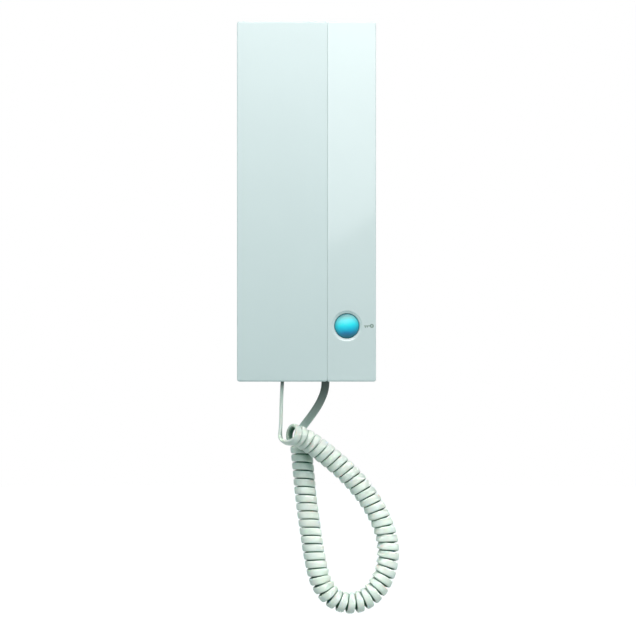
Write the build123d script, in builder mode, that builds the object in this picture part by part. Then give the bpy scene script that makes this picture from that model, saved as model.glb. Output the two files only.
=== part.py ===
from build123d import *
import math
import os

os.makedirs("parts", exist_ok=True)

# Millimetres. X runs to the right, Y into the wall and Z up; Y is 0 on the wall.
# Heights are counted from the wall towards the room, so a height is minus Y.

# Whole intercom
body_height = 223.0
strip_width = 29.7
bed_height = 25.0
corner_radius = 1.6
edge_radius = 1.0
seam_edge_radius = 0.4
shell_wall = 2.0
overrun = 1.0

# Handset
handset_width = 56.0
seam_gap = 0.3
grip_thickness = 18.0
bed_gap = 1.0
back_shell_depth = 4.8
back_edge_radius = 1.5
handset_wall = 2.0

# Ear and mouth cups on the handset's back
cup_side_room = 5.0
cup_length = 48.0
cup_depth = 7.0
cup_corner = 9.0
cup_taper = 14.0
ear_cup_drop = 33.5
mouth_cup_rise = 31.5
sound_hole_radius = 1.0
sound_hole_step = 4.4
ear_hole_rows = 2
mouth_hole_rows = 1

# Pockets in the base that take the cups
pocket_room = 1.0
pocket_floor_room = 1.5
pocket_corner = 10.0
pocket_wall = 2.0

# Finger scoop in the base's left edge
scoop_reach = 14.0
scoop_length = 70.0
scoop_corner = 7.0
scoop_wall = 1.8
scoop_clearance = 0.5

# Wall plate
plate_thickness = 2.4
rim_height = 4.0
rim_wall = 1.6
cover_fit = 0.2
slot_width = 4.4
slot_length = 8.0
slot_spacing_x = 60.0
slot_spacing_z = 160.0
cable_entry_width = 26.0
cable_entry_height = 18.0
cable_entry_rise = 18.0
hook_tab_width = 10.0
hook_tab_thickness = 2.0
hook_tab_rise = 3.4
hook_tab_reach = 1.0
hook_tab_x = 25.0
hook_tab_length = 3.0
lug_width = 8.0
lug_height = 8.4
lug_length = 8.0
lug_x = 28.0
lug_screw_height = 6.6
screw_pad = 2.0

# Screws
screw_radius = 1.4
screw_head_radius = 2.7
screw_head_height = 1.6
screw_length = 8.0
screw_fit = 0.05
screw_hole_room = 0.3
drive_radius = 1.1
drive_depth = 0.9
head_room = 0.2

# Main board, on the wall plate
board_thickness = 1.6
main_board_side_room = 3.0
main_board_end_room = 5.0
main_board_rise = 4.6
board_post_radius = 3.0
board_screw_inset = 5.0
cable_cutout_room = 1.5

# Things on the main board
terminal_width = 20.3
terminal_depth = 8.0
terminal_height = 10.0
terminal_rise = 22.0
terminal_ways = 4
terminal_screw_radius = 1.5
terminal_screw_depth = 1.5
terminal_mouth_width = 3.4
terminal_mouth_height = 4.0
terminal_mouth_depth = 4.0
chip_width = 10.0
chip_length = 8.0
chip_height = 1.8
chip_inset = 10.0
chip_rise = 20.0
transformer_width = 14.0
transformer_length = 13.0
transformer_height = 12.0
transformer_foot = 2.0
transformer_inset = 14.0
transformer_drop = 26.0
capacitor_radius = 3.2
capacitor_height = 9.5
capacitor_step = 9.0
capacitor_count = 3
capacitor_x = 14.5
capacitor_drop = 12.0

# Hook plunger and its switch
plunger_drop = 14.0
plunger_radius = 3.6
plunger_fit = 0.25
plunger_gap = 0.3
plunger_travel = 3.0
plunger_flange_radius = 5.0
plunger_flange_height = 1.2
plunger_stem_radius = 1.8
plunger_stem_length = 1.8
guide_wall = 1.6
guide_stop_gap = 0.3
hook_switch_width = 8.4
hook_switch_height = 2.0
hook_switch_nub_radius = 1.5
hook_switch_nub_height = 0.3
nub_gap = 0.3
spring_inner_radius = 2.4
spring_outer_radius = 3.4
spring_gap = 0.3

# Door-opener button
button_inset = 11.7
button_rise = 34.5
dish_radius = 9.1
dish_foot_radius = 7.5
dish_depth = 2.2
cap_radius = 6.9
cap_fit = 0.25
cap_proud = 1.2
dome_rise = 1.6
cap_travel = 1.5
cap_flange_radius = 7.9
cap_flange_height = 1.2
flange_gap = 0.3
cap_stem_radius = 2.0
cap_wall = 1.4
button_guide_wall = 1.0
button_guide_fit = 0.25
button_guide_end = 1.2
button_boss_length = 2.6

# Button board, on posts behind the strip's front
button_board_side_room = 1.7
button_board_end = 5.0
button_post_length = 11.0
button_post_radius = 2.5
button_post_offset = 5.0
button_post_below = 17.0
button_post_above = 22.0
tact_width = 6.0
tact_height = 2.6
tact_nub_radius = 1.6
tact_nub_height = 0.7
membrane_outer_radius = 5.8
membrane_inner_radius = 4.8
membrane_height = 4.9
membrane_roof = 0.9
membrane_gap = 0.3
header_width = 12.7
header_length = 5.0
header_side_room = 0.65
header_rise = 5.0

# Ringer volume slider, in the right side
volume_rise = 28.0
volume_travel = 3.0
volume_switch_width = 7.0
volume_switch_length = 14.0
volume_switch_height = 6.0
volume_stem_width = 3.0
volume_grip_length = 10.0
volume_grip_height = 5.6
volume_grip_thickness = 0.95
volume_recess_depth = 1.2
volume_room = 0.3
volume_pad = 0.8
volume_stem_gap = 0.3
volume_board_inset = 0.8

# Call speaker, behind slots in the right side
speaker_drop = 39.5
speaker_radius = 14.0
speaker_frame = 3.0
speaker_basket = 5.0
speaker_magnet_radius = 8.0
speaker_magnet_length = 5.0
gasket_thickness = 1.0
gasket_width = 3.0
sound_slot_width = 1.6
sound_slot_length = 18.0
sound_slot_step = 4.0
sound_slot_count = 5

# Modular jacks and plugs of the cord
jack_width = 11.0
jack_thickness = 8.8
jack_length = 14.0
jack_gap = 0.2
plug_width = 7.6
plug_thickness = 6.2
plug_length = 12.0
plug_fit = 0.1
plug_hole_room = 0.3
plug_sunk = 0.5
base_cord_inset = 1.5

# Capsules, boot, ballast and screw places in the handset
earpiece_room = 3.2
earpiece_height = 7.0
earpiece_gasket_height = 1.4
earpiece_gasket_width = 3.5
mouth_capsule_radius = 4.9
mouth_capsule_height = 6.0
boot_wall = 2.1
boot_floor = 1.0
mouth_boot_fit = 0.1
rib_thickness = 1.6
rib_length = 20.0
rib_gap = 0.3
ballast_width = 30.0
ballast_end_room = 15.0
ballast_height = 5.0
handset_screw_room = 12.0
handset_post_radius = 3.6
post_gap = 0.2

# Cord
wire_diameter = 3.2
wire_sides = 6
coil_diameter = 13.6
coil_turns = 50.55
coil_start_angle = 183.0
arcs_per_turn = 4
least_turn_gap = 0.4

# Routes of the cord, chosen point by point
coil_route = [
    (-10.6, -41.2, -143.8),
    (-3.6, -36.0, -145.4),
    (12.6, -34.3, -156.9),
    (28.9, -33.0, -171.5),
    (42.4, -31.5, -189.3),
    (50.3, -29.5, -207.0),
    (51.5, -27.5, -225.0),
    (45.0, -25.5, -241.6),
    (32.8, -24.0, -251.0),
    (18.4, -22.5, -249.6),
    (8.8, -21.0, -239.4),
    (4.8, -19.5, -222.0),
    (2.0, -18.0, -203.0),
    (-0.7, -16.5, -184.0),
    (-2.2, -15.0, -166.0),
    (-4.1, -14.0, -149.0),
]
handset_tail_route = [
    (-15.3, -35.0, -124.0),
    (-16.1, -34.4, -138.0),
]
base_tail_route = [
    (11.8, -6.8, -116.5),
    (7.0, -6.4, -126.5),
    (-0.9, -5.6, -137.7),
]
coil_lead_runs = (3.4, 6.0)

# Places that follow from the sizes above
body_width = handset_width + seam_gap + strip_width
handset_back = bed_height + bed_gap
body_depth = handset_back + grip_thickness
half_width = body_width / 2
half_height = body_height / 2
inner_width = body_width - 2 * shell_wall
inner_height = body_height - 2 * shell_wall
handset_x = -half_width + handset_width / 2
strip_left = half_width - strip_width
strip_inner_left = strip_left + shell_wall
strip_inner_right = half_width - shell_wall
strip_ceiling = body_depth - shell_wall
parting_height = handset_back + back_shell_depth
bed_ceiling = bed_height - shell_wall
cup_width = handset_width - 2 * cup_side_room
cup_face = handset_back - cup_depth
cup_shrink = cup_depth * math.tan(math.radians(cup_taper))
ear_cup_z = half_height - ear_cup_drop
mouth_cup_z = -half_height + mouth_cup_rise
pocket_floor = cup_face - pocket_floor_room
pocket_width = cup_width + 2 * pocket_room
pocket_length = cup_length + 2 * pocket_room
pocket_reach = pocket_length / 2 + pocket_wall
board_back = plate_thickness + main_board_rise
board_front = board_back + board_thickness
main_board_width = inner_width - 2 * main_board_side_room
main_board_bottom = mouth_cup_z + pocket_reach + main_board_end_room
main_board_top = ear_cup_z - pocket_reach - main_board_end_room
cable_entry_z = main_board_bottom + cable_entry_rise
terminal_z = cable_entry_z + terminal_rise
plunger_z = main_board_top - plunger_drop
volume_z = main_board_bottom + volume_rise
header_z = main_board_bottom + header_rise
scoop_floor = board_front + chip_height + scoop_clearance + scoop_wall
button_x = strip_left + button_inset
button_z = -half_height + button_rise
button_board_front = strip_ceiling - button_post_length
button_board_height = button_board_front - board_thickness
button_board_bottom = button_z - button_post_below - button_board_end
button_board_top = header_z + header_length / 2 + button_board_end / 2
button_board_width = strip_inner_right - strip_inner_left - 2 * button_board_side_room
speaker_z = half_height - speaker_drop
speaker_height = (plate_thickness + rim_height + strip_ceiling) / 2
base_cord_x = strip_left - base_cord_inset
base_cord_height = plate_thickness + jack_thickness / 2
handset_cord_height = (handset_back + body_depth) / 2
cover_screw_z = -half_height + screw_head_height
screw_pad_side = screw_head_radius + screw_hole_room + shell_wall / 2


# Shapes between planes, with heights counted from the wall
def slab(x_from, x_to, high_from, high_to, z_from, z_to, mode=Mode.ADD):
    """A block between three pairs of planes."""
    middle = ((x_from + x_to) / 2, -(high_from + high_to) / 2, (z_from + z_to) / 2)
    with Locations(middle):
        Box(x_to - x_from, high_to - high_from, z_to - z_from, mode=mode)


def block(width, length, x, z, high_from, high_to, mode=Mode.ADD):
    """A block centred on X and Z."""
    slab(x - width / 2, x + width / 2, high_from, high_to, z - length / 2, z + length / 2, mode)


def rod(radius, x, z, high_from, high_to, mode=Mode.ADD):
    """A round rod that stands on the wall."""
    with Locations((x, -(high_from + high_to) / 2, z)):
        Cylinder(radius, high_to - high_from, rotation=(90, 0, 0), mode=mode)


def upright(radius, x, high, z_from, z_to, mode=Mode.ADD):
    """A round rod along Z."""
    with Locations((x, -high, (z_from + z_to) / 2)):
        Cylinder(radius, z_to - z_from, mode=mode)


def rounded(width, length, corner, x, z, high_from, high_to, mode=Mode.ADD, taper=0):
    """A block with rounded corners, from one height to another."""
    amount = abs(high_to - high_from)
    towards = -1 if high_to > high_from else 1
    plane = Plane(origin=(x, -high_from, z), x_dir=(1, 0, 0), z_dir=(0, towards, 0))
    with BuildSketch(plane) as outline:
        RectangleRounded(width, length, corner)
    extrude(outline.sketch, amount=amount, taper=taper, mode=mode)


def screw_along(x, z, head_at, length, sign):
    """A pan-head screw that stands on the wall, its head at one height."""
    head_end = head_at + sign * screw_head_height
    rod(screw_head_radius, x, z, min(head_at, head_end), max(head_at, head_end))
    tip = head_at - sign * length
    rod(screw_radius, x, z, min(head_at, tip), max(head_at, tip))
    drive_floor = head_end - sign * drive_depth
    rod(drive_radius, x, z, min(head_end, drive_floor), max(head_end, drive_floor), Mode.SUBTRACT)


def sound_holes(z, rows):
    """Places of a round field of holes about a cup's middle."""
    found = []
    for column in range(-rows, rows + 1):
        for row in range(-rows, rows + 1):
            if math.hypot(column, row) <= rows + 1 / 4:
                found.append((handset_x + column * sound_hole_step, z + row * sound_hole_step))
    return found


main_board_screws = [
    (side * (main_board_width / 2 - board_screw_inset), z)
    for side in (-1, 1)
    for z in (main_board_bottom + board_screw_inset, main_board_top - board_screw_inset)
]
button_board_screws = [
    (button_x + button_post_offset, button_z - button_post_below),
    (button_x + button_post_offset, button_z + button_post_above),
]
low_screw_z = mouth_cup_z + cup_length / 2 + handset_screw_room
high_screw_z = ear_cup_z - cup_length / 2 - handset_screw_room
handset_screw_places = [(handset_x, low_screw_z), (handset_x, high_screw_z)]
cup_places = [(handset_x, ear_cup_z), (handset_x, mouth_cup_z)]

# Wall plate
with BuildPart() as wall_plate:
    rounded(body_width, body_height, corner_radius, 0, 0, 0, plate_thickness)
    rim_width = inner_width - 2 * cover_fit
    rim_length = inner_height - 2 * cover_fit
    rim_top = plate_thickness + rim_height
    rounded(rim_width, rim_length, corner_radius, 0, 0, plate_thickness, rim_top)
    hollow_width = rim_width - 2 * rim_wall
    hollow_length = rim_length - 2 * rim_wall
    rounded(hollow_width, hollow_length, corner_radius, 0, 0, plate_thickness, rim_top + overrun,
            Mode.SUBTRACT)
    # Room in the rim for the cord's jack and the cover's screw pads, then the lugs
    bay_top = -half_height + shell_wall + cover_fit + rim_wall + overrun
    bays = [(base_cord_x, jack_width / 2 + plug_hole_room)]
    bays += [(x, screw_pad_side + cover_fit) for x in (-lug_x, lug_x)]
    for x, side in bays:
        slab(x - side, x + side, plate_thickness, rim_top + overrun, -half_height, bay_top, Mode.SUBTRACT)
    lug_bottom = -half_height + shell_wall + screw_pad + cover_fit
    for x in (-lug_x, lug_x):
        block(lug_width, lug_length, x, lug_bottom + lug_length / 2, 0, plate_thickness + lug_height)
    for x in (-hook_tab_x, hook_tab_x):
        tab_foot = plate_thickness + hook_tab_rise
        tab_end = half_height - shell_wall + hook_tab_reach
        tab_side = hook_tab_width / 2
        slab(x - tab_side, x + tab_side, tab_foot, tab_foot + hook_tab_thickness,
             tab_end - hook_tab_length, tab_end)
        slab(x - tab_side, x + tab_side, 0, tab_foot, tab_end - hook_tab_length, rim_length / 2)
    for x, z in main_board_screws:
        rod(board_post_radius, x, z, 0, board_back)
        rod(screw_radius + screw_fit, x, z, plate_thickness, board_back + overrun, Mode.SUBTRACT)
    for x in (-lug_x, lug_x):
        lug_end = lug_bottom + lug_length
        upright(screw_radius + screw_fit, x, lug_screw_height, lug_bottom - overrun, lug_end, Mode.SUBTRACT)
    with BuildSketch(Plane.XZ.offset(-overrun)):
        with GridLocations(slot_spacing_x, slot_spacing_z, 2, 2):
            SlotOverall(slot_length, slot_width)
        with Locations((0, cable_entry_z)):
            Rectangle(cable_entry_width, cable_entry_height)
    extrude(amount=plate_thickness + 2 * overrun, mode=Mode.SUBTRACT)

wall_plate.part.label = "wall_plate"
export_step(wall_plate.part, "parts/wall_plate.step")

# Front cover: a shallow bed behind the handset and a deep strip beside it
with BuildPart() as front_cover:
    rounded(body_width, body_height, corner_radius, 0, 0, plate_thickness, body_depth)
    slab(-half_width - overrun, strip_left, bed_height, body_depth + overrun,
         -half_height - overrun, half_height + overrun, Mode.SUBTRACT)
    strip_front = front_cover.faces().sort_by(Axis.Y)[0]
    seam_edge = strip_front.edges().filter_by(Axis.Z).sort_by(Axis.X)[0]
    outer_edges = [edge for edge in strip_front.edges() if not edge.is_same(seam_edge)]
    fillet(outer_edges, radius=edge_radius)
    strip_front = front_cover.faces().sort_by(Axis.Y)[0]
    fillet(strip_front.edges().filter_by(Axis.Z).sort_by(Axis.X)[0], radius=seam_edge_radius)
    slab(-inner_width / 2, inner_width / 2, plate_thickness, bed_ceiling,
         -inner_height / 2, inner_height / 2, Mode.SUBTRACT)
    slab(strip_inner_left, strip_inner_right, plate_thickness, strip_ceiling,
         -inner_height / 2, inner_height / 2, Mode.SUBTRACT)
    # Pockets for the cups
    for x, z in cup_places:
        outer_corner = pocket_corner + pocket_wall
        rounded(pocket_width + 2 * pocket_wall, pocket_length + 2 * pocket_wall, outer_corner, x, z,
                pocket_floor - pocket_wall, bed_height)
    for x, z in cup_places:
        rounded(pocket_width, pocket_length, pocket_corner, x, z, pocket_floor, bed_height + overrun,
                Mode.SUBTRACT)
    # Finger scoop
    scoop_end = -half_width + scoop_reach
    slab(-inner_width / 2, scoop_end + scoop_wall, scoop_floor - scoop_wall, bed_ceiling,
         -scoop_length / 2 - scoop_wall, scoop_length / 2 + scoop_wall)
    rounded(2 * scoop_reach, scoop_length, scoop_corner, -half_width, 0, scoop_floor, bed_height + overrun,
            Mode.SUBTRACT)
    # Guide of the hook plunger
    switch_top = board_front + hook_switch_height
    stem_foot = switch_top + hook_switch_nub_height + nub_gap
    flange_foot = stem_foot + plunger_stem_length
    flange_top = flange_foot + plunger_flange_height
    guide_foot = flange_top + plunger_travel + guide_stop_gap
    rod(plunger_radius + plunger_fit + guide_wall, handset_x, plunger_z, guide_foot, bed_ceiling)
    rod(plunger_radius + plunger_fit, handset_x, plunger_z, guide_foot - overrun, bed_height + overrun,
        Mode.SUBTRACT)
    # Dish of the door-opener button
    boss_radius = cap_flange_radius + button_guide_fit + button_guide_wall
    boss_foot = strip_ceiling - button_boss_length
    rod(boss_radius, button_x, button_z, boss_foot, strip_ceiling)
    dish_floor = body_depth - dish_depth
    with Locations((button_x, -(body_depth + dish_floor) / 2, button_z)):
        Cone(dish_foot_radius, dish_radius, dish_depth, rotation=(90, 0, 0), mode=Mode.SUBTRACT)
    rod(cap_radius + cap_fit, button_x, button_z, boss_foot - overrun, body_depth + overrun, Mode.SUBTRACT)
    # Posts of the button board
    for x, z in button_board_screws:
        rod(button_post_radius, x, z, button_board_front, strip_ceiling)
        rod(screw_radius + screw_fit, x, z, button_board_front - overrun, button_board_front + screw_length,
            Mode.SUBTRACT)
    # Way in for the cord's plug, and the holes of the cover screws
    hole_side = plug_width / 2 + plug_hole_room
    hole_high = plug_thickness / 2 + plug_hole_room
    slab(base_cord_x - hole_side, base_cord_x + hole_side, base_cord_height - hole_high,
         base_cord_height + hole_high, -half_height - overrun, -inner_height / 2 + overrun, Mode.SUBTRACT)
    # Screw pads behind the bottom, with the heads sunk in
    pad_top = -inner_height / 2 + screw_pad
    for x in (-lug_x, lug_x):
        slab(x - screw_pad_side, x + screw_pad_side, plate_thickness + cover_fit,
             lug_screw_height + screw_pad_side, -inner_height / 2, pad_top)
        upright(screw_radius + screw_hole_room, x, lug_screw_height, -half_height - overrun,
                pad_top + overrun, Mode.SUBTRACT)
        upright(screw_head_radius + screw_hole_room, x, lug_screw_height, -half_height - overrun,
                cover_screw_z, Mode.SUBTRACT)
    # Recesses for the tabs of the wall plate
    for x in (-hook_tab_x, hook_tab_x):
        recess_side = hook_tab_width / 2 + screw_hole_room
        recess_foot = plate_thickness + hook_tab_rise - head_room
        slab(x - recess_side, x + recess_side, recess_foot,
             recess_foot + hook_tab_thickness + 2 * head_room,
             inner_height / 2 - overrun, inner_height / 2 + hook_tab_reach + head_room, Mode.SUBTRACT)
    # Volume slider: a pad inside, a shallow recess outside and a slot through both
    volume_height = board_front + volume_switch_height / 2
    recess_length = volume_grip_length + 2 * volume_travel + 2 * volume_room
    recess_height = volume_grip_height + 2 * volume_room
    recess_wide = recess_length + 2 * shell_wall
    slab(strip_inner_right - volume_pad, strip_inner_right, volume_height - recess_height / 2 - shell_wall,
         volume_height + recess_height / 2 + shell_wall, volume_z - recess_wide / 2,
         volume_z + recess_wide / 2)
    slab(half_width - volume_recess_depth, half_width + overrun, volume_height - recess_height / 2,
         volume_height + recess_height / 2, volume_z - recess_length / 2, volume_z + recess_length / 2,
         Mode.SUBTRACT)
    slot_half = volume_stem_width / 2 + volume_room
    slab(strip_inner_right - volume_pad - overrun, half_width + overrun, volume_height - slot_half,
         volume_height + slot_half, volume_z - slot_half - volume_travel,
         volume_z + slot_half + volume_travel,
         Mode.SUBTRACT)
    # Sound slots in front of the call speaker
    for number in range(sound_slot_count):
        slot_z = speaker_z + (number - (sound_slot_count - 1) / 2) * sound_slot_step
        slab(strip_inner_right - overrun, half_width + overrun, speaker_height - sound_slot_length / 2,
             speaker_height + sound_slot_length / 2, slot_z - sound_slot_width / 2,
             slot_z + sound_slot_width / 2,
             Mode.SUBTRACT)

front_cover.part.label = "front_cover"
export_step(front_cover.part, "parts/front_cover.step")

# Screws that hold the cover from below
with BuildPart() as cover_screws:
    for x in (-lug_x, lug_x):
        upright(screw_head_radius, x, lug_screw_height, cover_screw_z - screw_head_height, cover_screw_z)
        upright(screw_radius, x, lug_screw_height, cover_screw_z, cover_screw_z + screw_length)
        upright(drive_radius, x, lug_screw_height, cover_screw_z - screw_head_height,
                cover_screw_z - screw_head_height + drive_depth, Mode.SUBTRACT)

cover_screws.part.label = "cover_screws"
export_step(cover_screws.part, "parts/cover_screws.step")

# Main circuit board
with BuildPart() as circuit_board:
    slab(-main_board_width / 2, main_board_width / 2, board_back, board_front, main_board_bottom,
         main_board_top)
    for x, z in main_board_screws:
        rod(screw_radius + screw_hole_room, x, z, board_back - overrun, board_front + overrun,
            Mode.SUBTRACT)
    block(cable_entry_width + 2 * cable_cutout_room, cable_entry_height + 2 * cable_cutout_room, 0,
          cable_entry_z, board_back - overrun, board_front + overrun, Mode.SUBTRACT)

circuit_board.part.label = "circuit_board"
export_step(circuit_board.part, "parts/circuit_board.step")

# Screws of the main board
with BuildPart() as main_board_screw_set:
    for x, z in main_board_screws:
        screw_along(x, z, board_front, main_board_rise + board_thickness - head_room, 1)

main_board_screw_set.part.label = "main_board_screws"
export_step(main_board_screw_set.part, "parts/main_board_screws.step")

# Screw terminals for the wires from the wall
with BuildPart() as terminal_block:
    block(terminal_width, terminal_depth, 0, terminal_z, board_front, board_front + terminal_height)
    terminal_step = terminal_width / terminal_ways
    for way in range(terminal_ways):
        x = (way - (terminal_ways - 1) / 2) * terminal_step
        top = board_front + terminal_height
        rod(terminal_screw_radius + screw_fit, x, terminal_z, top - 2 * terminal_screw_depth, top,
            Mode.SUBTRACT)
        mouth_foot = board_front + terminal_screw_depth
        mouth_side = terminal_mouth_width / 2
        bottom = terminal_z - terminal_depth / 2
        slab(x - mouth_side, x + mouth_side, mouth_foot, mouth_foot + terminal_mouth_height, bottom,
             bottom + terminal_mouth_depth, Mode.SUBTRACT)

terminal_block.part.label = "terminal_block"
export_step(terminal_block.part, "parts/terminal_block.step")

with BuildPart() as terminal_screws:
    for way in range(terminal_ways):
        x = (way - (terminal_ways - 1) / 2) * terminal_step
        top = board_front + terminal_height - terminal_screw_depth
        rod(terminal_screw_radius, x, terminal_z, top - terminal_screw_depth,
            top + terminal_screw_depth / 2)
        block(2 * terminal_screw_radius, terminal_screw_depth / 3, x, terminal_z, top,
              top + terminal_screw_depth / 2, Mode.SUBTRACT)

terminal_screws.part.label = "terminal_screws"
export_step(terminal_screws.part, "parts/terminal_screws.step")

# Amplifier chip
with BuildPart() as amplifier_chip:
    block(chip_width, chip_length, -main_board_width / 2 + chip_inset, main_board_bottom + chip_rise,
          board_front,
          board_front + chip_height)

amplifier_chip.part.label = "amplifier_chip"
export_step(amplifier_chip.part, "parts/amplifier_chip.step")

# Line transformer: a wide foot and the core on it
with BuildPart() as line_transformer:
    foot_top = board_front + transformer_foot
    transformer_x = main_board_width / 2 - transformer_inset
    transformer_z = main_board_top - transformer_drop
    block(transformer_width, transformer_length, transformer_x, transformer_z, board_front, foot_top)
    block(transformer_width - transformer_foot, transformer_length - transformer_foot, transformer_x,
          transformer_z, foot_top, board_front + transformer_height)

line_transformer.part.label = "line_transformer"
export_step(line_transformer.part, "parts/line_transformer.step")

# Capacitors in a row
with BuildPart() as capacitors:
    for number in range(capacitor_count):
        rod(capacitor_radius, capacitor_x + number * capacitor_step, main_board_top - capacitor_drop,
            board_front,
            board_front + capacitor_height)

capacitors.part.label = "capacitors"
export_step(capacitors.part, "parts/capacitors.step")

# Hook switch under the plunger
with BuildPart() as hook_switch:
    block(hook_switch_width, hook_switch_width, handset_x, plunger_z, board_front, switch_top)
    rod(hook_switch_nub_radius, handset_x, plunger_z, switch_top, switch_top + hook_switch_nub_height)

hook_switch.part.label = "hook_switch"
export_step(hook_switch.part, "parts/hook_switch.step")

# Hook plunger, held in by the handset
with BuildPart() as hook_plunger:
    plunger_top = handset_back - plunger_gap
    rod(plunger_radius, handset_x, plunger_z, flange_foot, plunger_top)
    rod(plunger_flange_radius, handset_x, plunger_z, flange_foot, flange_top)
    rod(plunger_stem_radius, handset_x, plunger_z, stem_foot, flange_foot)
    tip_edge = hook_plunger.faces().sort_by(Axis.Y)[0].edges()
    fillet(tip_edge, radius=plunger_radius / 3)

hook_plunger.part.label = "hook_plunger"
export_step(hook_plunger.part, "parts/hook_plunger.step")

# Spring that lifts the plunger
with BuildPart() as hook_spring:
    rod(spring_outer_radius, handset_x, plunger_z, switch_top, flange_foot - spring_gap)
    rod(spring_inner_radius, handset_x, plunger_z, switch_top, flange_foot - spring_gap, Mode.SUBTRACT)

hook_spring.part.label = "hook_spring"
export_step(hook_spring.part, "parts/hook_spring.step")

# Board of the door-opener button
with BuildPart() as button_board:
    strip_middle = (strip_inner_left + strip_inner_right) / 2
    slab(strip_middle - button_board_width / 2, strip_middle + button_board_width / 2, button_board_height,
         button_board_front, button_board_bottom, button_board_top)
    for x, z in button_board_screws:
        rod(screw_radius + screw_hole_room, x, z, button_board_height - overrun,
            button_board_front + overrun,
            Mode.SUBTRACT)

button_board.part.label = "button_board"
export_step(button_board.part, "parts/button_board.step")

with BuildPart() as button_board_screw_set:
    for x, z in button_board_screws:
        screw_along(x, z, button_board_height, screw_length, -1)

button_board_screw_set.part.label = "button_board_screws"
export_step(button_board_screw_set.part, "parts/button_board_screws.step")

# Stacking header between the two boards
with BuildPart() as board_header:
    header_x = strip_inner_left + header_side_room + header_width / 2
    block(header_width, header_length, header_x, header_z, board_front, button_board_height)

board_header.part.label = "board_header"
export_step(board_header.part, "parts/board_header.step")

# Guide ring behind the dish
with BuildPart() as button_guide:
    button_guide_length = cap_flange_height + flange_gap + cap_travel + button_guide_end
    rod(boss_radius, button_x, button_z, boss_foot - button_guide_length, boss_foot)
    rod(boss_radius - button_guide_wall, button_x, button_z, boss_foot - button_guide_length, boss_foot,
        Mode.SUBTRACT)

button_guide.part.label = "button_guide"
export_step(button_guide.part, "parts/button_guide.step")

# Door-opener button
with BuildPart() as door_button:
    cap_flange_top = boss_foot - flange_gap
    cap_flange_foot = cap_flange_top - cap_flange_height
    cap_shoulder = body_depth + cap_proud - dome_rise
    cap_top = body_depth + cap_proud
    dome_radius = (cap_radius ** 2 + dome_rise ** 2) / (2 * dome_rise)
    with BuildSketch(Plane(origin=(button_x, 0, button_z), x_dir=(1, 0, 0), z_dir=(0, 0, 1))):
        with BuildLine():
            top_point = (0, -cap_top)
            shoulder_point = (cap_radius, -cap_shoulder)
            half_angle = math.asin(cap_radius / dome_radius) / 2
            middle_point = (dome_radius * math.sin(half_angle),
                            -(cap_top - dome_radius + dome_radius * math.cos(half_angle)))
            ThreePointArc(top_point, middle_point, shoulder_point)
            Polyline(shoulder_point, (cap_radius, -cap_flange_top), (cap_flange_radius, -cap_flange_top),
                     (cap_flange_radius, -cap_flange_foot), (0, -cap_flange_foot), top_point)
        make_face()
    revolve(axis=Axis((button_x, 0, button_z), (0, 1, 0)))
    rod(cap_radius - cap_wall, button_x, button_z, cap_flange_foot, cap_shoulder - cap_wall, Mode.SUBTRACT)
    stem_end = button_board_front + membrane_height + membrane_gap
    rod(cap_stem_radius, button_x, button_z, stem_end, cap_shoulder)

door_button.part.label = "door_button"
export_step(door_button.part, "parts/door_button.step")

# Rubber membrane that carries the button
with BuildPart() as button_membrane:
    membrane_top = button_board_front + membrane_height
    rod(membrane_outer_radius, button_x, button_z, button_board_front, membrane_top)
    rod(membrane_inner_radius, button_x, button_z, button_board_front, membrane_top - membrane_roof,
        Mode.SUBTRACT)

button_membrane.part.label = "button_membrane"
export_step(button_membrane.part, "parts/button_membrane.step")

# Push switch under the membrane
with BuildPart() as tact_switch:
    tact_top = button_board_front + tact_height
    block(tact_width, tact_width, button_x, button_z, button_board_front, tact_top)
    rod(tact_nub_radius, button_x, button_z, tact_top, tact_top + tact_nub_height)

tact_switch.part.label = "tact_switch"
export_step(tact_switch.part, "parts/tact_switch.step")

# Slide switch of the ringer volume
with BuildPart() as volume_switch:
    switch_right = main_board_width / 2 + volume_board_inset
    slab(switch_right - volume_switch_width, switch_right, board_front, board_front + volume_switch_height,
         volume_z - volume_switch_length / 2, volume_z + volume_switch_length / 2)

volume_switch.part.label = "volume_switch"
export_step(volume_switch.part, "parts/volume_switch.step")

# Slider of the ringer volume
with BuildPart() as volume_slider:
    grip_outer = half_width
    grip_inner = half_width - volume_grip_thickness
    slab(grip_inner, grip_outer, volume_height - volume_grip_height / 2,
         volume_height + volume_grip_height / 2,
         volume_z - volume_grip_length / 2, volume_z + volume_grip_length / 2)
    slab(switch_right + volume_stem_gap, grip_inner, volume_height - volume_stem_width / 2,
         volume_height + volume_stem_width / 2, volume_z - volume_stem_width / 2,
         volume_z + volume_stem_width / 2)

volume_slider.part.label = "volume_slider"
export_step(volume_slider.part, "parts/volume_slider.step")

# Foam ring and call speaker behind the right side's slots
with BuildPart() as speaker_gasket:
    with BuildSketch(Plane(origin=(strip_inner_right, -speaker_height, speaker_z), z_dir=(-1, 0, 0))):
        Circle(speaker_radius)
        Circle(speaker_radius - gasket_width, mode=Mode.SUBTRACT)
    extrude(amount=gasket_thickness)

speaker_gasket.part.label = "speaker_gasket"
export_step(speaker_gasket.part, "parts/speaker_gasket.step")

with BuildPart() as call_speaker:
    frame_face = strip_inner_right - gasket_thickness
    frame_end = frame_face - speaker_frame
    basket_end = frame_end - speaker_basket
    magnet_end = basket_end - speaker_magnet_length
    with BuildSketch(Plane(origin=(0, -speaker_height, speaker_z), x_dir=(1, 0, 0), z_dir=(0, -1, 0))):
        with BuildLine():
            Polyline((frame_face, 0), (frame_face, speaker_radius), (frame_end, speaker_radius),
                     (basket_end, speaker_magnet_radius), (magnet_end, speaker_magnet_radius),
                     (magnet_end, 0), close=True)
        make_face()
    revolve(axis=Axis((0, -speaker_height, speaker_z), (1, 0, 0)))

call_speaker.part.label = "call_speaker"
export_step(call_speaker.part, "parts/call_speaker.step")


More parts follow.
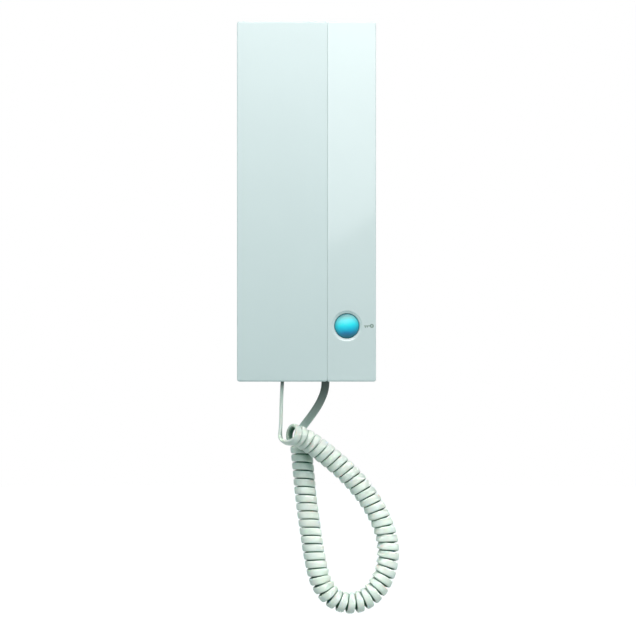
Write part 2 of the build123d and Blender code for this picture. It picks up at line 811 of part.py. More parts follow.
# Jacks and plugs: the base's lies flat to the wall, the handset's stands edge-on to it
def jack(x, high, half_x, half_high, plug_x, plug_high):
    """A modular jack at the bottom, with the hole for its plug."""
    foot = -half_height + shell_wall + jack_gap
    slab(x - half_x, x + half_x, high - half_high, high + half_high, foot, foot + jack_length)
    hole_end = -half_height + plug_length
    slab(x - plug_x, x + plug_x, high - plug_high, high + plug_high, foot - overrun, hole_end,
         Mode.SUBTRACT)


def plug(x, high, half_x, half_high):
    """A modular plug in its jack, just under flush with the bottom."""
    top = -half_height + plug_length - plug_fit
    slab(x - half_x, x + half_x, high - half_high, high + half_high, plug_end, top)


plug_end = -half_height + plug_sunk


with BuildPart() as base_jack:
    base_jack_half = (jack_thickness - plug_fit) / 2
    jack(base_cord_x, base_cord_height, jack_width / 2, base_jack_half, plug_width / 2 + plug_fit,
         plug_thickness / 2 + plug_fit)

base_jack.part.label = "base_jack"
export_step(base_jack.part, "parts/base_jack.step")

with BuildPart() as base_plug:
    plug(base_cord_x, base_cord_height, plug_width / 2, plug_thickness / 2)

base_plug.part.label = "base_plug"
export_step(base_plug.part, "parts/base_plug.step")

def handset_plug_hole():
    """Way in for the cord's plug through the handset's bottom wall."""
    side = plug_thickness / 2 + plug_hole_room
    high = plug_width / 2 + plug_hole_room
    slab(handset_x - side, handset_x + side, handset_cord_height - high, handset_cord_height + high,
         -half_height - overrun, -half_height + handset_wall + overrun, Mode.SUBTRACT)


# Handset, front shell
with BuildPart() as handset_front_shell:
    rounded(handset_width, body_height, corner_radius, handset_x, 0, parting_height, body_depth)
    fillet(handset_front_shell.faces().sort_by(Axis.Y)[0].edges(), radius=edge_radius)
    handset_ceiling = body_depth - handset_wall
    block(handset_width - 2 * handset_wall, body_height - 2 * handset_wall, handset_x, 0, parting_height,
          handset_ceiling, Mode.SUBTRACT)
    post_foot = handset_back + handset_wall + post_gap
    for x, z in handset_screw_places:
        rod(handset_post_radius, x, z, post_foot, handset_ceiling)
        rod(screw_radius + screw_fit, x, z, post_foot - overrun,
            handset_back + screw_head_height + screw_length,
            Mode.SUBTRACT)
    # Ribs that hold the capsules in their cups
    ear_rib_end = cup_face + handset_wall + earpiece_gasket_height + earpiece_height + rib_gap
    boot_height = mouth_capsule_height + boot_floor
    mouth_rib_end = cup_face + handset_wall + boot_height + rib_gap
    for z, rib_end in ((ear_cup_z, ear_rib_end), (mouth_cup_z, mouth_rib_end)):
        block(rib_length, rib_thickness, handset_x, z, rib_end, handset_ceiling)
        block(rib_thickness, rib_length, handset_x, z, rib_end, handset_ceiling)
    handset_plug_hole()

handset_front_shell.part.label = "handset_front_shell"
export_step(handset_front_shell.part, "parts/handset_front_shell.step")

# Handset, back shell with its cups
with BuildPart() as handset_back_shell:
    rounded(handset_width, body_height, corner_radius, handset_x, 0, handset_back, parting_height)
    fillet(handset_back_shell.faces().sort_by(Axis.Y)[-1].edges(), radius=back_edge_radius)
    for x, z in cup_places:
        rounded(cup_width, cup_length, cup_corner, x, z, handset_back + handset_wall, handset_back)
        rounded(cup_width, cup_length, cup_corner, x, z, handset_back, cup_face, taper=cup_taper)
    block(handset_width - 2 * handset_wall, body_height - 2 * handset_wall, handset_x, 0,
          handset_back + handset_wall, parting_height + overrun, Mode.SUBTRACT)
    for x, z in cup_places:
        inner = cup_width - 2 * handset_wall
        rounded(inner, cup_length - 2 * handset_wall, cup_corner - handset_wall, x, z,
                handset_back + handset_wall, cup_face + handset_wall, Mode.SUBTRACT, cup_taper)
    for z, rows in ((ear_cup_z, ear_hole_rows), (mouth_cup_z, mouth_hole_rows)):
        for x, hole_z in sound_holes(z, rows):
            rod(sound_hole_radius, x, hole_z, cup_face - overrun, cup_face + handset_wall + overrun,
                Mode.SUBTRACT)
    for x, z in handset_screw_places:
        rod(screw_radius + screw_hole_room, x, z, handset_back - overrun,
            handset_back + handset_wall + overrun,
            Mode.SUBTRACT)
        rod(screw_head_radius + screw_hole_room, x, z, handset_back - overrun,
            handset_back + handset_wall / 2, Mode.SUBTRACT)
    handset_plug_hole()

handset_back_shell.part.label = "handset_back_shell"
export_step(handset_back_shell.part, "parts/handset_back_shell.step")

# Screws of the handset, their heads sunk into the back
with BuildPart() as handset_screws:
    for x, z in handset_screw_places:
        sink = handset_back + handset_wall / 2
        rod(screw_head_radius, x, z, handset_back, sink)
        rod(screw_radius, x, z, sink, sink + screw_length)
        rod(drive_radius, x, z, handset_back, handset_back + handset_wall / 4, Mode.SUBTRACT)

handset_screws.part.label = "handset_screws"
export_step(handset_screws.part, "parts/handset_screws.step")

# Earpiece and its foam ring
with BuildPart() as earpiece_gasket:
    ear_floor = cup_face + handset_wall
    earpiece_radius = min(cup_width, cup_length) / 2 - handset_wall - cup_shrink - earpiece_room
    ear_seat = ear_floor + earpiece_gasket_height
    rod(earpiece_radius, handset_x, ear_cup_z, ear_floor, ear_seat)
    rod(earpiece_radius - earpiece_gasket_width, handset_x, ear_cup_z, ear_floor, ear_seat, Mode.SUBTRACT)

earpiece_gasket.part.label = "earpiece_gasket"
export_step(earpiece_gasket.part, "parts/earpiece_gasket.step")

with BuildPart() as earpiece_capsule:
    rod(earpiece_radius, handset_x, ear_cup_z, ear_seat, ear_seat + earpiece_height / 2)
    rod(earpiece_radius * 3 / 4, handset_x, ear_cup_z, ear_seat + earpiece_height / 2,
        ear_seat + earpiece_height)

earpiece_capsule.part.label = "earpiece_capsule"
export_step(earpiece_capsule.part, "parts/earpiece_capsule.step")

# Microphone in its rubber boot
with BuildPart() as microphone_boot:
    boot_top = ear_floor + boot_height
    rod(mouth_capsule_radius + boot_wall, handset_x, mouth_cup_z, ear_floor, boot_top)
    rod(mouth_capsule_radius + mouth_boot_fit, handset_x, mouth_cup_z, ear_floor + boot_floor, boot_top,
        Mode.SUBTRACT)
    rod(sound_hole_radius, handset_x, mouth_cup_z, ear_floor, ear_floor + boot_floor, Mode.SUBTRACT)

microphone_boot.part.label = "microphone_boot"
export_step(microphone_boot.part, "parts/microphone_boot.step")

with BuildPart() as microphone_capsule:
    rod(mouth_capsule_radius, handset_x, mouth_cup_z, ear_floor + boot_floor, boot_top)

microphone_capsule.part.label = "microphone_capsule"
export_step(microphone_capsule.part, "parts/microphone_capsule.step")

# Steel weight in the grip
with BuildPart() as handset_weight:
    low_end = low_screw_z + ballast_end_room
    high_end = high_screw_z - ballast_end_room
    slab(handset_x - ballast_width / 2, handset_x + ballast_width / 2, handset_ceiling - ballast_height,
         handset_ceiling, low_end, high_end)

handset_weight.part.label = "handset_weight"
export_step(handset_weight.part, "parts/handset_weight.step")

with BuildPart() as handset_jack:
    jack(handset_x, handset_cord_height, jack_thickness / 2, jack_width / 2, plug_thickness / 2 + plug_fit,
         plug_width / 2 + plug_fit)

handset_jack.part.label = "handset_jack"
export_step(handset_jack.part, "parts/handset_jack.step")

with BuildPart() as handset_plug:
    plug(handset_x, handset_cord_height, plug_thickness / 2, plug_width / 2)

handset_plug.part.label = "handset_plug"
export_step(handset_plug.part, "parts/handset_plug.step")


# Coil of the cord: a helix about a smooth line through the route's spans
def smooth_line(points, steps):
    """Points and directions along the quadratic curve that the route's points pull."""
    route = [Vector(*point) for point in points]
    joints = [(a + b) * 0.5 for a, b in zip(route[1:-2], route[2:-1])]
    starts = [route[0]] + joints
    ends = joints + [route[-1]]
    found = []
    for start, pull, end in zip(starts, route[1:-1], ends):
        for step in range(steps):
            share = step / steps
            place = start * (1 - share) ** 2 + pull * 2 * share * (1 - share) + end * share ** 2
            heading = (pull - start) * (1 - share) + (end - pull) * share
            found.append((place, heading.normalized()))
    found.append((route[-1], (route[-1] - route[-2]).normalized()))
    return found


line_steps = 60
coil_line = smooth_line(coil_route, line_steps)
travelled = [0]
for (here, _), (there, _) in zip(coil_line, coil_line[1:]):
    travelled.append(travelled[-1] + (there - here).length)
coil_length = travelled[-1]
first_heading = coil_line[0][1]
side_axis = (Vector(0, 0, 1) - first_heading * first_heading.Z).normalized()
side_axes = []
for _, heading in coil_line:
    side_axis = (side_axis - heading * side_axis.dot(heading)).normalized()
    side_axes.append(side_axis)
curl_radius = (coil_diameter - wire_diameter) / 2


def curl_point(along):
    """Place on the wire's centreline at a length along the coil's own line."""
    index = 0
    while index < len(travelled) - 2 and travelled[index + 1] <= along:
        index += 1
    share = (along - travelled[index]) / (travelled[index + 1] - travelled[index])
    place = coil_line[index][0] * (1 - share) + coil_line[index + 1][0] * share
    heading = (coil_line[index][1] * (1 - share) + coil_line[index + 1][1] * share).normalized()
    side = side_axes[index] * (1 - share) + side_axes[index + 1] * share
    side = (side - heading * side.dot(heading)).normalized()
    other = heading.cross(side)
    angle = math.radians(coil_start_angle) - 2 * math.pi * coil_turns * along / coil_length
    return place + (side * math.cos(angle) + other * math.sin(angle)) * curl_radius


def curl_heading(along):
    """Direction of the wire at a length along the coil's own line."""
    small = coil_length / 20000
    before = max(along - small, 0)
    after = min(along + small, coil_length)
    return (curl_point(after) - curl_point(before)).normalized()


def biarc(start, start_heading, end, end_heading):
    """Two arcs that leave and arrive in the given directions."""
    chord = end - start
    turned = start_heading + end_heading
    squared = 2 * (1 - start_heading.dot(end_heading))
    across = 2 * chord.dot(turned)
    reach = (math.sqrt(across ** 2 + 4 * squared * chord.dot(chord)) - across) / (2 * squared)
    meeting = (start + start_heading * reach + end - end_heading * reach) * 0.5
    first = Edge.make_tangent_arc(start, start_heading, meeting)
    second = Edge.make_tangent_arc(meeting, first.tangent_at(1), end)
    return [first, second]


biarc_count = round(coil_turns * arcs_per_turn / 2)
knots = [coil_length * number / biarc_count for number in range(biarc_count + 1)]
knot_points = [curl_point(along) for along in knots]
knot_headings = [curl_heading(along) for along in knots]
coil_edges = []
for number in range(biarc_count):
    coil_edges += biarc(knot_points[number], knot_headings[number], knot_points[number + 1],
                        knot_headings[number + 1])
tightest = min(edge.radius for edge in coil_edges)
coil_start = knot_points[0] - knot_headings[0] * wire_diameter
coil_end = knot_points[-1] + knot_headings[-1] * wire_diameter
coil_edges.insert(0, Edge.make_line(coil_start, knot_points[0]))
coil_edges.append(Edge.make_line(knot_points[-1], coil_end))
coil_path = Wire(coil_edges)

with BuildPart() as cord_coil:
    with BuildSketch(Plane(origin=coil_start, z_dir=knot_headings[0])):
        RegularPolygon(wire_diameter / 2, wire_sides)
    sweep(path=coil_path, clean=False)

cord_coil.part.label = "cord_coil"
export_step(cord_coil.part, "parts/cord_coil.step")

# Least gap between turns, measured on points of the wire's centreline
points_per_turn = 24
sample_count = round(coil_turns * points_per_turn)
samples = [tuple(curl_point(coil_length * number / sample_count)) for number in range(sample_count + 1)]
least_distance = coil_diameter
for number, here in enumerate(samples):
    for there in samples[number + points_per_turn // 2:]:
        least_distance = min(least_distance, math.dist(here, there))
print("coil length along its line", round(coil_length, 1))
print("coil wire length", round(coil_path.length, 1))
print("coil least radius", round(tightest, 2))
print("coil least gap between turns", round(least_distance - wire_diameter, 2), "wanted over",
      least_turn_gap)


# Tails of the cord: straight runs joined by tangent arcs
def tail(points, name):
    """A wire along a route, with every corner rounded as widely as its runs allow."""
    route = [Vector(*point) for point in points]
    runs = [b - a for a, b in zip(route, route[1:])]
    radii = []
    for before, after in zip(runs, runs[1:]):
        turn = math.radians(before.get_angle(after))
        radii.append(0.45 * min(before.length, after.length) / math.tan(turn / 2))
    print(name, "radii", [round(radius, 1) for radius in radii])
    with BuildLine() as line:
        FilletPolyline(*route, radius=radii)
    with BuildSketch(Plane(origin=route[0], z_dir=runs[0].normalized())) as section:
        Circle(wire_diameter / 2)
    sweep(section.sketch, path=line.wires()[0])
    print(name, "length", round(line.wires()[0].length, 1))


with BuildPart() as handset_tail:
    tail_exit = Vector(handset_x, -handset_cord_height, plug_end)
    lead_in = coil_start - knot_headings[0] * coil_lead_runs[1]
    tail([tail_exit] + handset_tail_route + [lead_in, coil_start], "handset tail")

handset_tail.part.label = "cord_tail_handset"
export_step(handset_tail.part, "parts/cord_tail_handset.step")

with BuildPart() as base_tail:
    base_exit = Vector(base_cord_x, -base_cord_height, plug_end)
    lead_out = coil_end + knot_headings[-1] * coil_lead_runs[0]
    tail([base_exit] + base_tail_route + [lead_out, coil_end], "base tail")

base_tail.part.label = "cord_tail_base"
export_step(base_tail.part, "parts/cord_tail_base.step")
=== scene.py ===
import bisect
import math

import bmesh
import bpy
from mathutils import Matrix, Vector


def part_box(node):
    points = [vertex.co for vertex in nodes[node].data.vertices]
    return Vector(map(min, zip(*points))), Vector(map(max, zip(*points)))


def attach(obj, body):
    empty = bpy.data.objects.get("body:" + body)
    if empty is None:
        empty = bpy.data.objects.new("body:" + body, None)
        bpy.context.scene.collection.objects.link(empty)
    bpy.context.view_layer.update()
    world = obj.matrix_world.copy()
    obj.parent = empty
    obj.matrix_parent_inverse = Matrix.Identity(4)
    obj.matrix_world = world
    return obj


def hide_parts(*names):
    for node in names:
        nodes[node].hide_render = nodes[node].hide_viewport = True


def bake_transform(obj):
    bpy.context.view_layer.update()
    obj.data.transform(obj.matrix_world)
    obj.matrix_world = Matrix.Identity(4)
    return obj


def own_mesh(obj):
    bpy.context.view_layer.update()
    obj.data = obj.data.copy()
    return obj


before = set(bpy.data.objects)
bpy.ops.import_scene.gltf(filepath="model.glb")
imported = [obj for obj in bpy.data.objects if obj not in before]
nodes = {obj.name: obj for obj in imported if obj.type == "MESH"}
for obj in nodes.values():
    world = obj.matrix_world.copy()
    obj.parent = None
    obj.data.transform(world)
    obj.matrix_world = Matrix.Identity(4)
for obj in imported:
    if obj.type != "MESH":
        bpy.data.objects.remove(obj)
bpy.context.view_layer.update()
scene = bpy.context.scene

# Pieces are measured in millimetres, places as in the CAD: X to the right, Y into the wall, Z up.
# A height is counted from the wall towards the room, so it is minus Y.
MM = 0.001
TURN = 2 * math.pi
HALF_WIDTH = 43.0
HALF_HEIGHT = 111.5
DEPTH = 44.0
WALL = 2.0
CORNER = 1.6
BUTTON = (25.0, -77.0)
BUTTON_RADIUS = 7.35


# Shader values and materials
class Shade:
    """A shader value. Arithmetic on it makes Math nodes."""

    def __init__(self, recipe, socket):
        self.recipe = recipe
        self.socket = socket

    def math(self, operation, *others):
        return self.recipe.make("ShaderNodeMath", (self,) + others, operation=operation)

    def reflected(self, operation, number):
        return self.recipe.make("ShaderNodeMath", (number, self), operation=operation)

    def __add__(self, other):
        return self.math("ADD", other)

    def __radd__(self, number):
        return self.reflected("ADD", number)

    def __sub__(self, other):
        return self.math("SUBTRACT", other)

    def __rsub__(self, number):
        return self.reflected("SUBTRACT", number)

    def __mul__(self, other):
        return self.math("MULTIPLY", other)

    def __rmul__(self, number):
        return self.reflected("MULTIPLY", number)

    def __truediv__(self, other):
        return self.math("DIVIDE", other)

    def __rtruediv__(self, number):
        return self.reflected("DIVIDE", number)

    def __pow__(self, other):
        return self.math("POWER", other)

    def __rpow__(self, number):
        return self.reflected("POWER", number)

    def __abs__(self):
        return self.math("ABSOLUTE")

    def __gt__(self, other):
        return self.math("GREATER_THAN", other)

    def __lt__(self, other):
        return self.math("LESS_THAN", other)

    def clamp(self):
        return self.math("MAXIMUM", 0.0).math("MINIMUM", 1.0)


class Recipe:
    """The shader nodes of a material or of the world."""

    def __init__(self, tree):
        self.tree = tree

    def make(self, kind, inputs=(), output=0, stops=(), **settings):
        """A node: first its settings and a ramp's stops, then the values or links of its sockets."""
        node = self.tree.nodes.new(kind)
        for key, value in settings.items():
            setattr(node, key, value)
        if stops:
            elements = node.color_ramp.elements
            while len(elements) < len(stops):
                elements.new(0.5)
            for element, (place, colour) in zip(elements, stops):
                element.position = place
                element.color = (*colour, 1.0)
        pairs = inputs.items() if isinstance(inputs, dict) else enumerate(inputs)
        for key, value in pairs:
            self.join(value, node.inputs[key])
        return Shade(self, node.outputs[output])

    def join(self, value, socket):
        if isinstance(value, Shade):
            self.tree.links.new(value.socket, socket)
        elif socket.type == "RGBA":
            socket.default_value = (*value[:3], 1.0)
        else:
            socket.default_value = value

    def mix(self, share, first, second):
        inputs = {0: share, 6: first, 7: second}
        return self.make("ShaderNodeMix", inputs, output=2, data_type="RGBA")


class Paint(Recipe):
    """One material, made node by node round its main shader."""

    def __init__(self, name, **sockets):
        self.material = bpy.data.materials.new(name)
        self.material.use_nodes = True
        super().__init__(self.material.node_tree)
        self.shader = self.tree.nodes["Principled BSDF"]
        for key, value in sockets.items():
            self.set(key.replace("_", " "), value)
        self.where = self.make("ShaderNodeTexCoord", output="Object")

    def set(self, name, value):
        self.join(value, self.shader.inputs[name])

    def axis(self, name):
        return self.make("ShaderNodeSeparateXYZ", {0: self.where}, output=name)

    def noise(self, size, detail=2.0, where=None):
        """Soft noise from 0 to 1, whose blotches are about that size."""
        inputs = {"Vector": where or self.where, "Scale": 1 / size, "Detail": detail}
        return self.make("ShaderNodeTexNoise", inputs)

    def pores(self, size):
        """Distance from the middle of a pore, with pores about that far apart."""
        inputs = {"Vector": self.where, "Scale": 1 / size}
        return self.make("ShaderNodeTexVoronoi", inputs, output="Distance")

    def stretched(self, x, y, z):
        inputs = {"Vector": self.where, "Scale": (x, y, z)}
        return self.make("ShaderNodeMapping", inputs)

    def ramp(self, value, stops):
        """A colour for each stop of a value, blended in between."""
        return self.make("ShaderNodeValToRGB", {0: value}, stops=stops)

    def relief(self, height, depth):
        inputs = {"Height": height, "Distance": depth}
        self.set("Normal", self.make("ShaderNodeBump", inputs))


def tint(colour, share):
    return tuple(min(1.0, part * share) for part in colour)


def plastic(name, colour, roughness, grain=0.45, depth=0.012, spread=0.02, **sockets):
    """Moulded plastic with a fine spark-eroded grain and a slight cloudiness."""
    paint = Paint(name, **sockets)
    cloud = paint.noise(40 * MM, 3.0)
    fine = paint.noise(grain * MM)
    paint.set("Base Color", paint.mix(cloud, tint(colour, 1 - spread), tint(colour, 1 + spread)))
    paint.set("Roughness", fine * 0.12 + cloud * 0.08 + (roughness - 0.1))
    paint.relief(fine, depth * MM)
    return paint


def cord_vinyl():
    """Soft vinyl with a satin skin, with painted shade between the turns and a painted shadow below the
    housings.
    """
    paint = Paint("cord_vinyl", Subsurface_Weight=0.12, Subsurface_Scale=0.0015, Coat_Weight=0.12)
    paint.set("Coat Roughness", 0.3)
    cloud = paint.noise(22 * MM, 3.0)
    skin = paint.noise(0.5 * MM, 3.0)
    clean = paint.mix(cloud, (0.78, 0.88, 0.79), (0.83, 0.92, 0.84))
    # Painted shade: ambient occlusion darkens the colour in the gaps between the turns and under the loop's
    # crossing
    inputs = {"Distance": 30 * MM}
    openness = paint.make("ShaderNodeAmbientOcclusion", inputs, output="AO", samples=12)
    crease_shaded = paint.mix(((openness - 0.16) / 0.60).clamp(), (0.10, 0.26, 0.17), clean)
    # Painted shadow below the body: it is 6 mm long at the handset's end and 30 mm long at the end by the
    # wall
    below = -HALF_HEIGHT * MM - paint.axis("Z")
    by_wall = ((paint.axis("Y") + 32 * MM) / (22 * MM)).clamp()
    shadow_length = by_wall * (24 * MM) + 6 * MM
    clear = (below / shadow_length).clamp() ** (by_wall * 0.8 + 1.0)
    paint.set("Base Color", paint.mix(clear, (0.07, 0.10, 0.09), crease_shaded))
    paint.set("Roughness", skin * 0.16 + 0.34)
    paint.relief(skin, 0.01 * MM)
    return paint


def blue_lens():
    """Translucent blue cap with painted light: a painted highlight of pale cyan above its middle, painted
    shade of deep blue at the foot and round the rim, and a painted glow.
    """
    paint = Paint("button_blue", IOR=1.49, Coat_Weight=0.12, Specular_IOR_Level=0.3, Emission_Strength=0.3)
    paint.set("Coat Roughness", 0.2)
    across = (paint.axis("X") - BUTTON[0] * MM) / (2 * BUTTON_RADIUS * MM)
    up = (paint.axis("Z") - BUTTON[1] * MM) / (2 * BUTTON_RADIUS * MM)
    from_middle = (across * across + up * up).math("SQRT") * 2.0
    swirl = paint.noise(3.5 * MM, 3.0)
    height = up - across * 0.12 + (swirl - 0.5) * 0.1 + 0.5
    # Painted light by height: painted shade at the foot, a painted highlight above the middle, and a
    # painted shadow of the dish's wall at the top edge
    body = paint.ramp(height, [
        (0.05, (0.004, 0.07, 0.14)),
        (0.20, (0.006, 0.20, 0.42)),
        (0.37, (0.006, 0.48, 0.67)),
        (0.54, (0.02, 0.74, 0.84)),
        (0.72, (0.15, 0.80, 0.87)),
        (0.86, (0.22, 0.66, 0.65)),
        (0.97, (0.14, 0.33, 0.34)),
    ])
    # Painted shade round the rim of the dome
    painted_rim_shade = (from_middle ** 4.5).clamp()
    lens = paint.mix(painted_rim_shade * 0.75, body, (0.02, 0.20, 0.24))
    paint.set("Base Color", lens)
    # Painted glow: the cap gives off light in its own colour, though no lamp is inside
    paint.set("Emission Color", lens)
    paint.set("Roughness", swirl * 0.1 + 0.24)
    paint.relief(paint.noise(0.8 * MM), 0.006 * MM)
    return paint


def steel():
    """Zinc-plated steel with turned marks and a little dullness."""
    paint = Paint("zinc_steel", Metallic=1.0)
    cloud = paint.noise(2.5 * MM, 4.0)
    marks = paint.noise(0.18 * MM, 2.0, paint.stretched(1.0, 6.0, 1.0))
    paint.set("Base Color", paint.mix(cloud, (0.52, 0.53, 0.52), (0.68, 0.69, 0.67)))
    paint.set("Roughness", marks * 0.2 + cloud * 0.15 + 0.16)
    paint.relief(marks, 0.01 * MM)
    return paint


def circuit_board():
    """Green solder mask over copper tracks, with round pads in a grid and pale printed outlines."""
    paint = Paint("circuit_board", Coat_Weight=0.4)
    paint.set("Coat Roughness", 0.2)
    grid = 2.54 * MM
    x, z = paint.axis("X"), paint.axis("Z")
    wander = paint.noise(14 * MM, 1.0)
    lanes = (x / grid + (wander * 3.0).math("ROUND")).math("FRACT") - 0.5
    track = abs(lanes) < 0.17
    pad_x = (x / grid).math("FRACT") - 0.5
    pad_z = (z / grid).math("FRACT") - 0.5
    pad_reach = (pad_x * pad_x + pad_z * pad_z).math("SQRT")
    chosen = paint.noise(5 * MM, 0.0) > 0.56
    pad = (pad_reach < 0.3) * chosen
    hole = (pad_reach < 0.14) * chosen
    mask = paint.mix(track, (0.008, 0.10, 0.035), (0.02, 0.19, 0.07))
    tinned = paint.mix(pad, mask, (0.66, 0.66, 0.62))
    box_x = abs((x / (5 * grid)).math("FRACT") - 0.5)
    box_z = abs((z / (4 * grid)).math("FRACT") - 0.5)
    box_reach = box_x.math("MAXIMUM", box_z)
    outline = (box_reach > 0.325) * (box_reach < 0.345) * (paint.noise(30 * MM, 0.0) > 0.5)
    printed = paint.mix(outline, tinned, (0.72, 0.76, 0.70))
    paint.set("Base Color", paint.mix(hole, printed, (0.01, 0.01, 0.01)))
    paint.set("Metallic", pad * 0.9)
    paint.set("Roughness", paint.noise(1 * MM) * 0.15 + 0.28)
    paint.relief(track * 0.4 + pad * 0.6, 0.03 * MM)
    return paint


def foam():
    paint = Paint("foam")
    pores = paint.pores(0.7 * MM)
    stops = [(0.1, (0.012, 0.012, 0.013)), (0.7, (0.06, 0.06, 0.062))]
    paint.set("Base Color", paint.ramp(pores, stops))
    paint.set("Roughness", pores * 0.1 + 0.85)
    paint.relief(pores, 0.25 * MM)
    return paint


def foil():
    """Sleeve of a capacitor, with its pale stripe, and the bare aluminium top."""
    paint = Paint("capacitor_foil")
    height = -1.0 * paint.axis("Y")
    across = (paint.axis("X") - 14.5 * MM) / (9 * MM)
    stripe = (across - across.math("ROUND")) < -0.2
    top = height > 17.95 * MM
    sleeve = paint.mix(stripe, (0.012, 0.02, 0.05), (0.5, 0.52, 0.52))
    paint.set("Base Color", paint.mix(top, sleeve, (0.7, 0.7, 0.69)))
    paint.set("Metallic", top * 0.95)
    paint.set("Roughness", paint.noise(1.2 * MM) * 0.15 + 0.22)
    paint.relief(paint.noise(0.6 * MM), 0.01 * MM)
    return paint


def cone_paper():
    """Ribbed black paper of the call speaker."""
    paint = Paint("speaker_cone")
    ribs = paint.noise(0.5 * MM, 3.0)
    paint.set("Base Color", paint.mix(ribs, (0.01, 0.01, 0.011), (0.04, 0.04, 0.043)))
    paint.set("Roughness", ribs * 0.2 + 0.6)
    paint.relief(ribs, 0.05 * MM)
    return paint


SHELL = (0.715, 0.85, 0.845)
handset_white = plastic("handset_plastic", SHELL, 0.46)
base_white = plastic("base_plastic", SHELL, 0.36, depth=0.008, Coat_Weight=0.62)
base_white.set("Coat Roughness", 0.05)
grey_plastic = plastic("grey_plastic", (0.42, 0.46, 0.46), 0.45)
black_plastic = plastic("black_plastic", (0.018, 0.019, 0.02), 0.4, spread=0.15)
terminal_green = plastic("terminal_green", (0.05, 0.32, 0.14), 0.42)
print_ink = plastic("print_ink", (0.27, 0.38, 0.33), 0.6, grain=0.2)
rubber = plastic("membrane_rubber", (0.5, 0.55, 0.55), 0.55, Subsurface_Weight=0.2, Subsurface_Scale=0.002)
plug_clear = plastic("plug_clear", (0.86, 0.9, 0.88), 0.2, Transmission_Weight=0.85, IOR=1.58)
vinyl = cord_vinyl()
zinc = steel()
board = circuit_board()
dark_foam = foam()
aluminium = foil()
paper = cone_paper()


# Meshes: the steps of a corner or an edge, and the least radius of a corner and of a turned profile
CORNER_STEPS = 6
LARGE_STEPS = 10
SMALL_STEPS = 5
EDGE_STEPS = 8
SHARP = 0.02
NEAREST_AXIS = 0.001
SQUARE = ((-1, -1), (1, -1), (1, 1), (-1, 1))


def solid(name, points, faces):
    mesh = bpy.data.meshes.new(name)
    mesh.from_pydata([tuple(part * MM for part in point) for point in points], [], faces)
    work = bmesh.new()
    work.from_mesh(mesh)
    bmesh.ops.recalc_face_normals(work, faces=work.faces)
    work.to_mesh(mesh)
    work.free()
    piece = bpy.data.objects.new(name, mesh)
    scene.collection.objects.link(piece)
    return piece


def loft(name, rings):
    """A closed skin over rings of as many points each."""
    size = len(rings[0])
    points = [point for ring in rings for point in ring]
    faces = []
    for number in range(len(rings) - 1):
        for step in range(size):
            low = number * size
            after = (step + 1) % size
            faces.append((low + step, low + after, low + size + after, low + size + step))
    faces.append(tuple(range(size))[::-1])
    faces.append(tuple(range(len(points) - size, len(points))))
    return solid(name, points, faces)


def quarters(box):
    """The corners of a box (left, right, bottom, top), each with the way out of the box."""
    left, right, bottom, top = box
    return ((right, top, 1, 1), (left, top, -1, 1), (left, bottom, -1, -1), (right, bottom, 1, -1))


def ring(box, corner, high, grow=0.0, steps=CORNER_STEPS):
    """A flat ring round a box whose corners are rounded, grown by an amount."""
    radius = max(corner + grow, SHARP)
    found = []
    for number, (x, z, side_x, side_z) in enumerate(quarters(box)):
        for step in range(steps + 1):
            angle = (number + step / steps) * math.pi / 2
            found.append((
                x + side_x * (grow - radius) + radius * math.cos(angle),
                -high,
                z + side_z * (grow - radius) + radius * math.sin(angle),
            ))
    return found


def edge_ring(box, corner, edges, turned, high, sign):
    """A ring on a rounded edge, turned from the sides (0) to the face (a quarter of a turn).

    The edge has its own radius at the right, top, left and bottom.
    """
    left, right, bottom, top = box
    inward = 1 - math.cos(turned)
    drop = 1 - math.sin(turned)
    right, top = right - edges[0] * inward, top - edges[1] * inward
    left, bottom = left + edges[2] * inward, bottom + edges[3] * inward
    found = []
    for number, (x, z, side_x, side_z) in enumerate(quarters((left, right, bottom, top))):
        before, after = edges[number], edges[(number + 1) % 4]
        radius = max(corner - (before + after) / 2 * inward, SHARP)
        for step in range(CORNER_STEPS + 1):
            share = step / CORNER_STEPS
            angle = (number + share) * math.pi / 2
            edge = before + (after - before) * share
            found.append((
                x - side_x * radius + radius * math.cos(angle),
                -(high - sign * edge * drop),
                z - side_z * radius + radius * math.sin(angle),
            ))
    return found


def round_edge(box, corner, edges, high, sign=1):
    """Rings of a rounded edge. Its face looks into the room, or to the wall where the sign is -1."""
    turns = [number / EDGE_STEPS * math.pi / 2 for number in range(EDGE_STEPS + 1)]
    return [edge_ring(box, corner, edges, turned, high, sign) for turned in turns]


def around(x, z, width, length):
    return (x - width / 2, x + width / 2, z - length / 2, z + length / 2)


def circle(x, z, radius, count):
    turns = [TURN * step / count for step in range(count)]
    return [(x + radius * math.cos(turned), z + radius * math.sin(turned)) for turned in turns]


def lathe(name, profile, x, z, count=64):
    """Profile points (radius, height) turned about an axis that stands on the wall."""
    return loft(name, [
        [(u, -high, w) for u, w in circle(x, z, max(radius, NEAREST_AXIS), count)]
        for radius, high in profile
    ])


def prism(name, outline, low, high, place):
    """An outline swept between two values; place turns (u, v, w) into (x, y, z)."""
    return loft(name, [[place(u, v, w) for u, v in outline] for w in (low, high)])


def box_solid(name, box, low, high, corner=SHARP):
    return loft(name, [ring(box, corner, low), ring(box, corner, high)])


def side_ring(x, high, z, half_high, half_long, corner):
    """A rounded ring in the plane of the right side."""
    flat = ring((-half_high, half_high, -half_long, half_long), corner, 0.0, steps=SMALL_STEPS)
    return [(x, -high + u, z + w) for u, _, w in flat]


def bottom_ring(x, high, z, half_wide, half_high, corner):
    """A rounded ring in the plane of the underside."""
    flat = ring((-half_wide, half_wide, -half_high, half_high), corner, 0.0, steps=SMALL_STEPS)
    return [(x + u, -high + w, z) for u, _, w in flat]


def evaluated(piece):
    graph = bpy.context.evaluated_depsgraph_get()
    return bpy.data.meshes.new_from_object(piece.evaluated_get(graph))


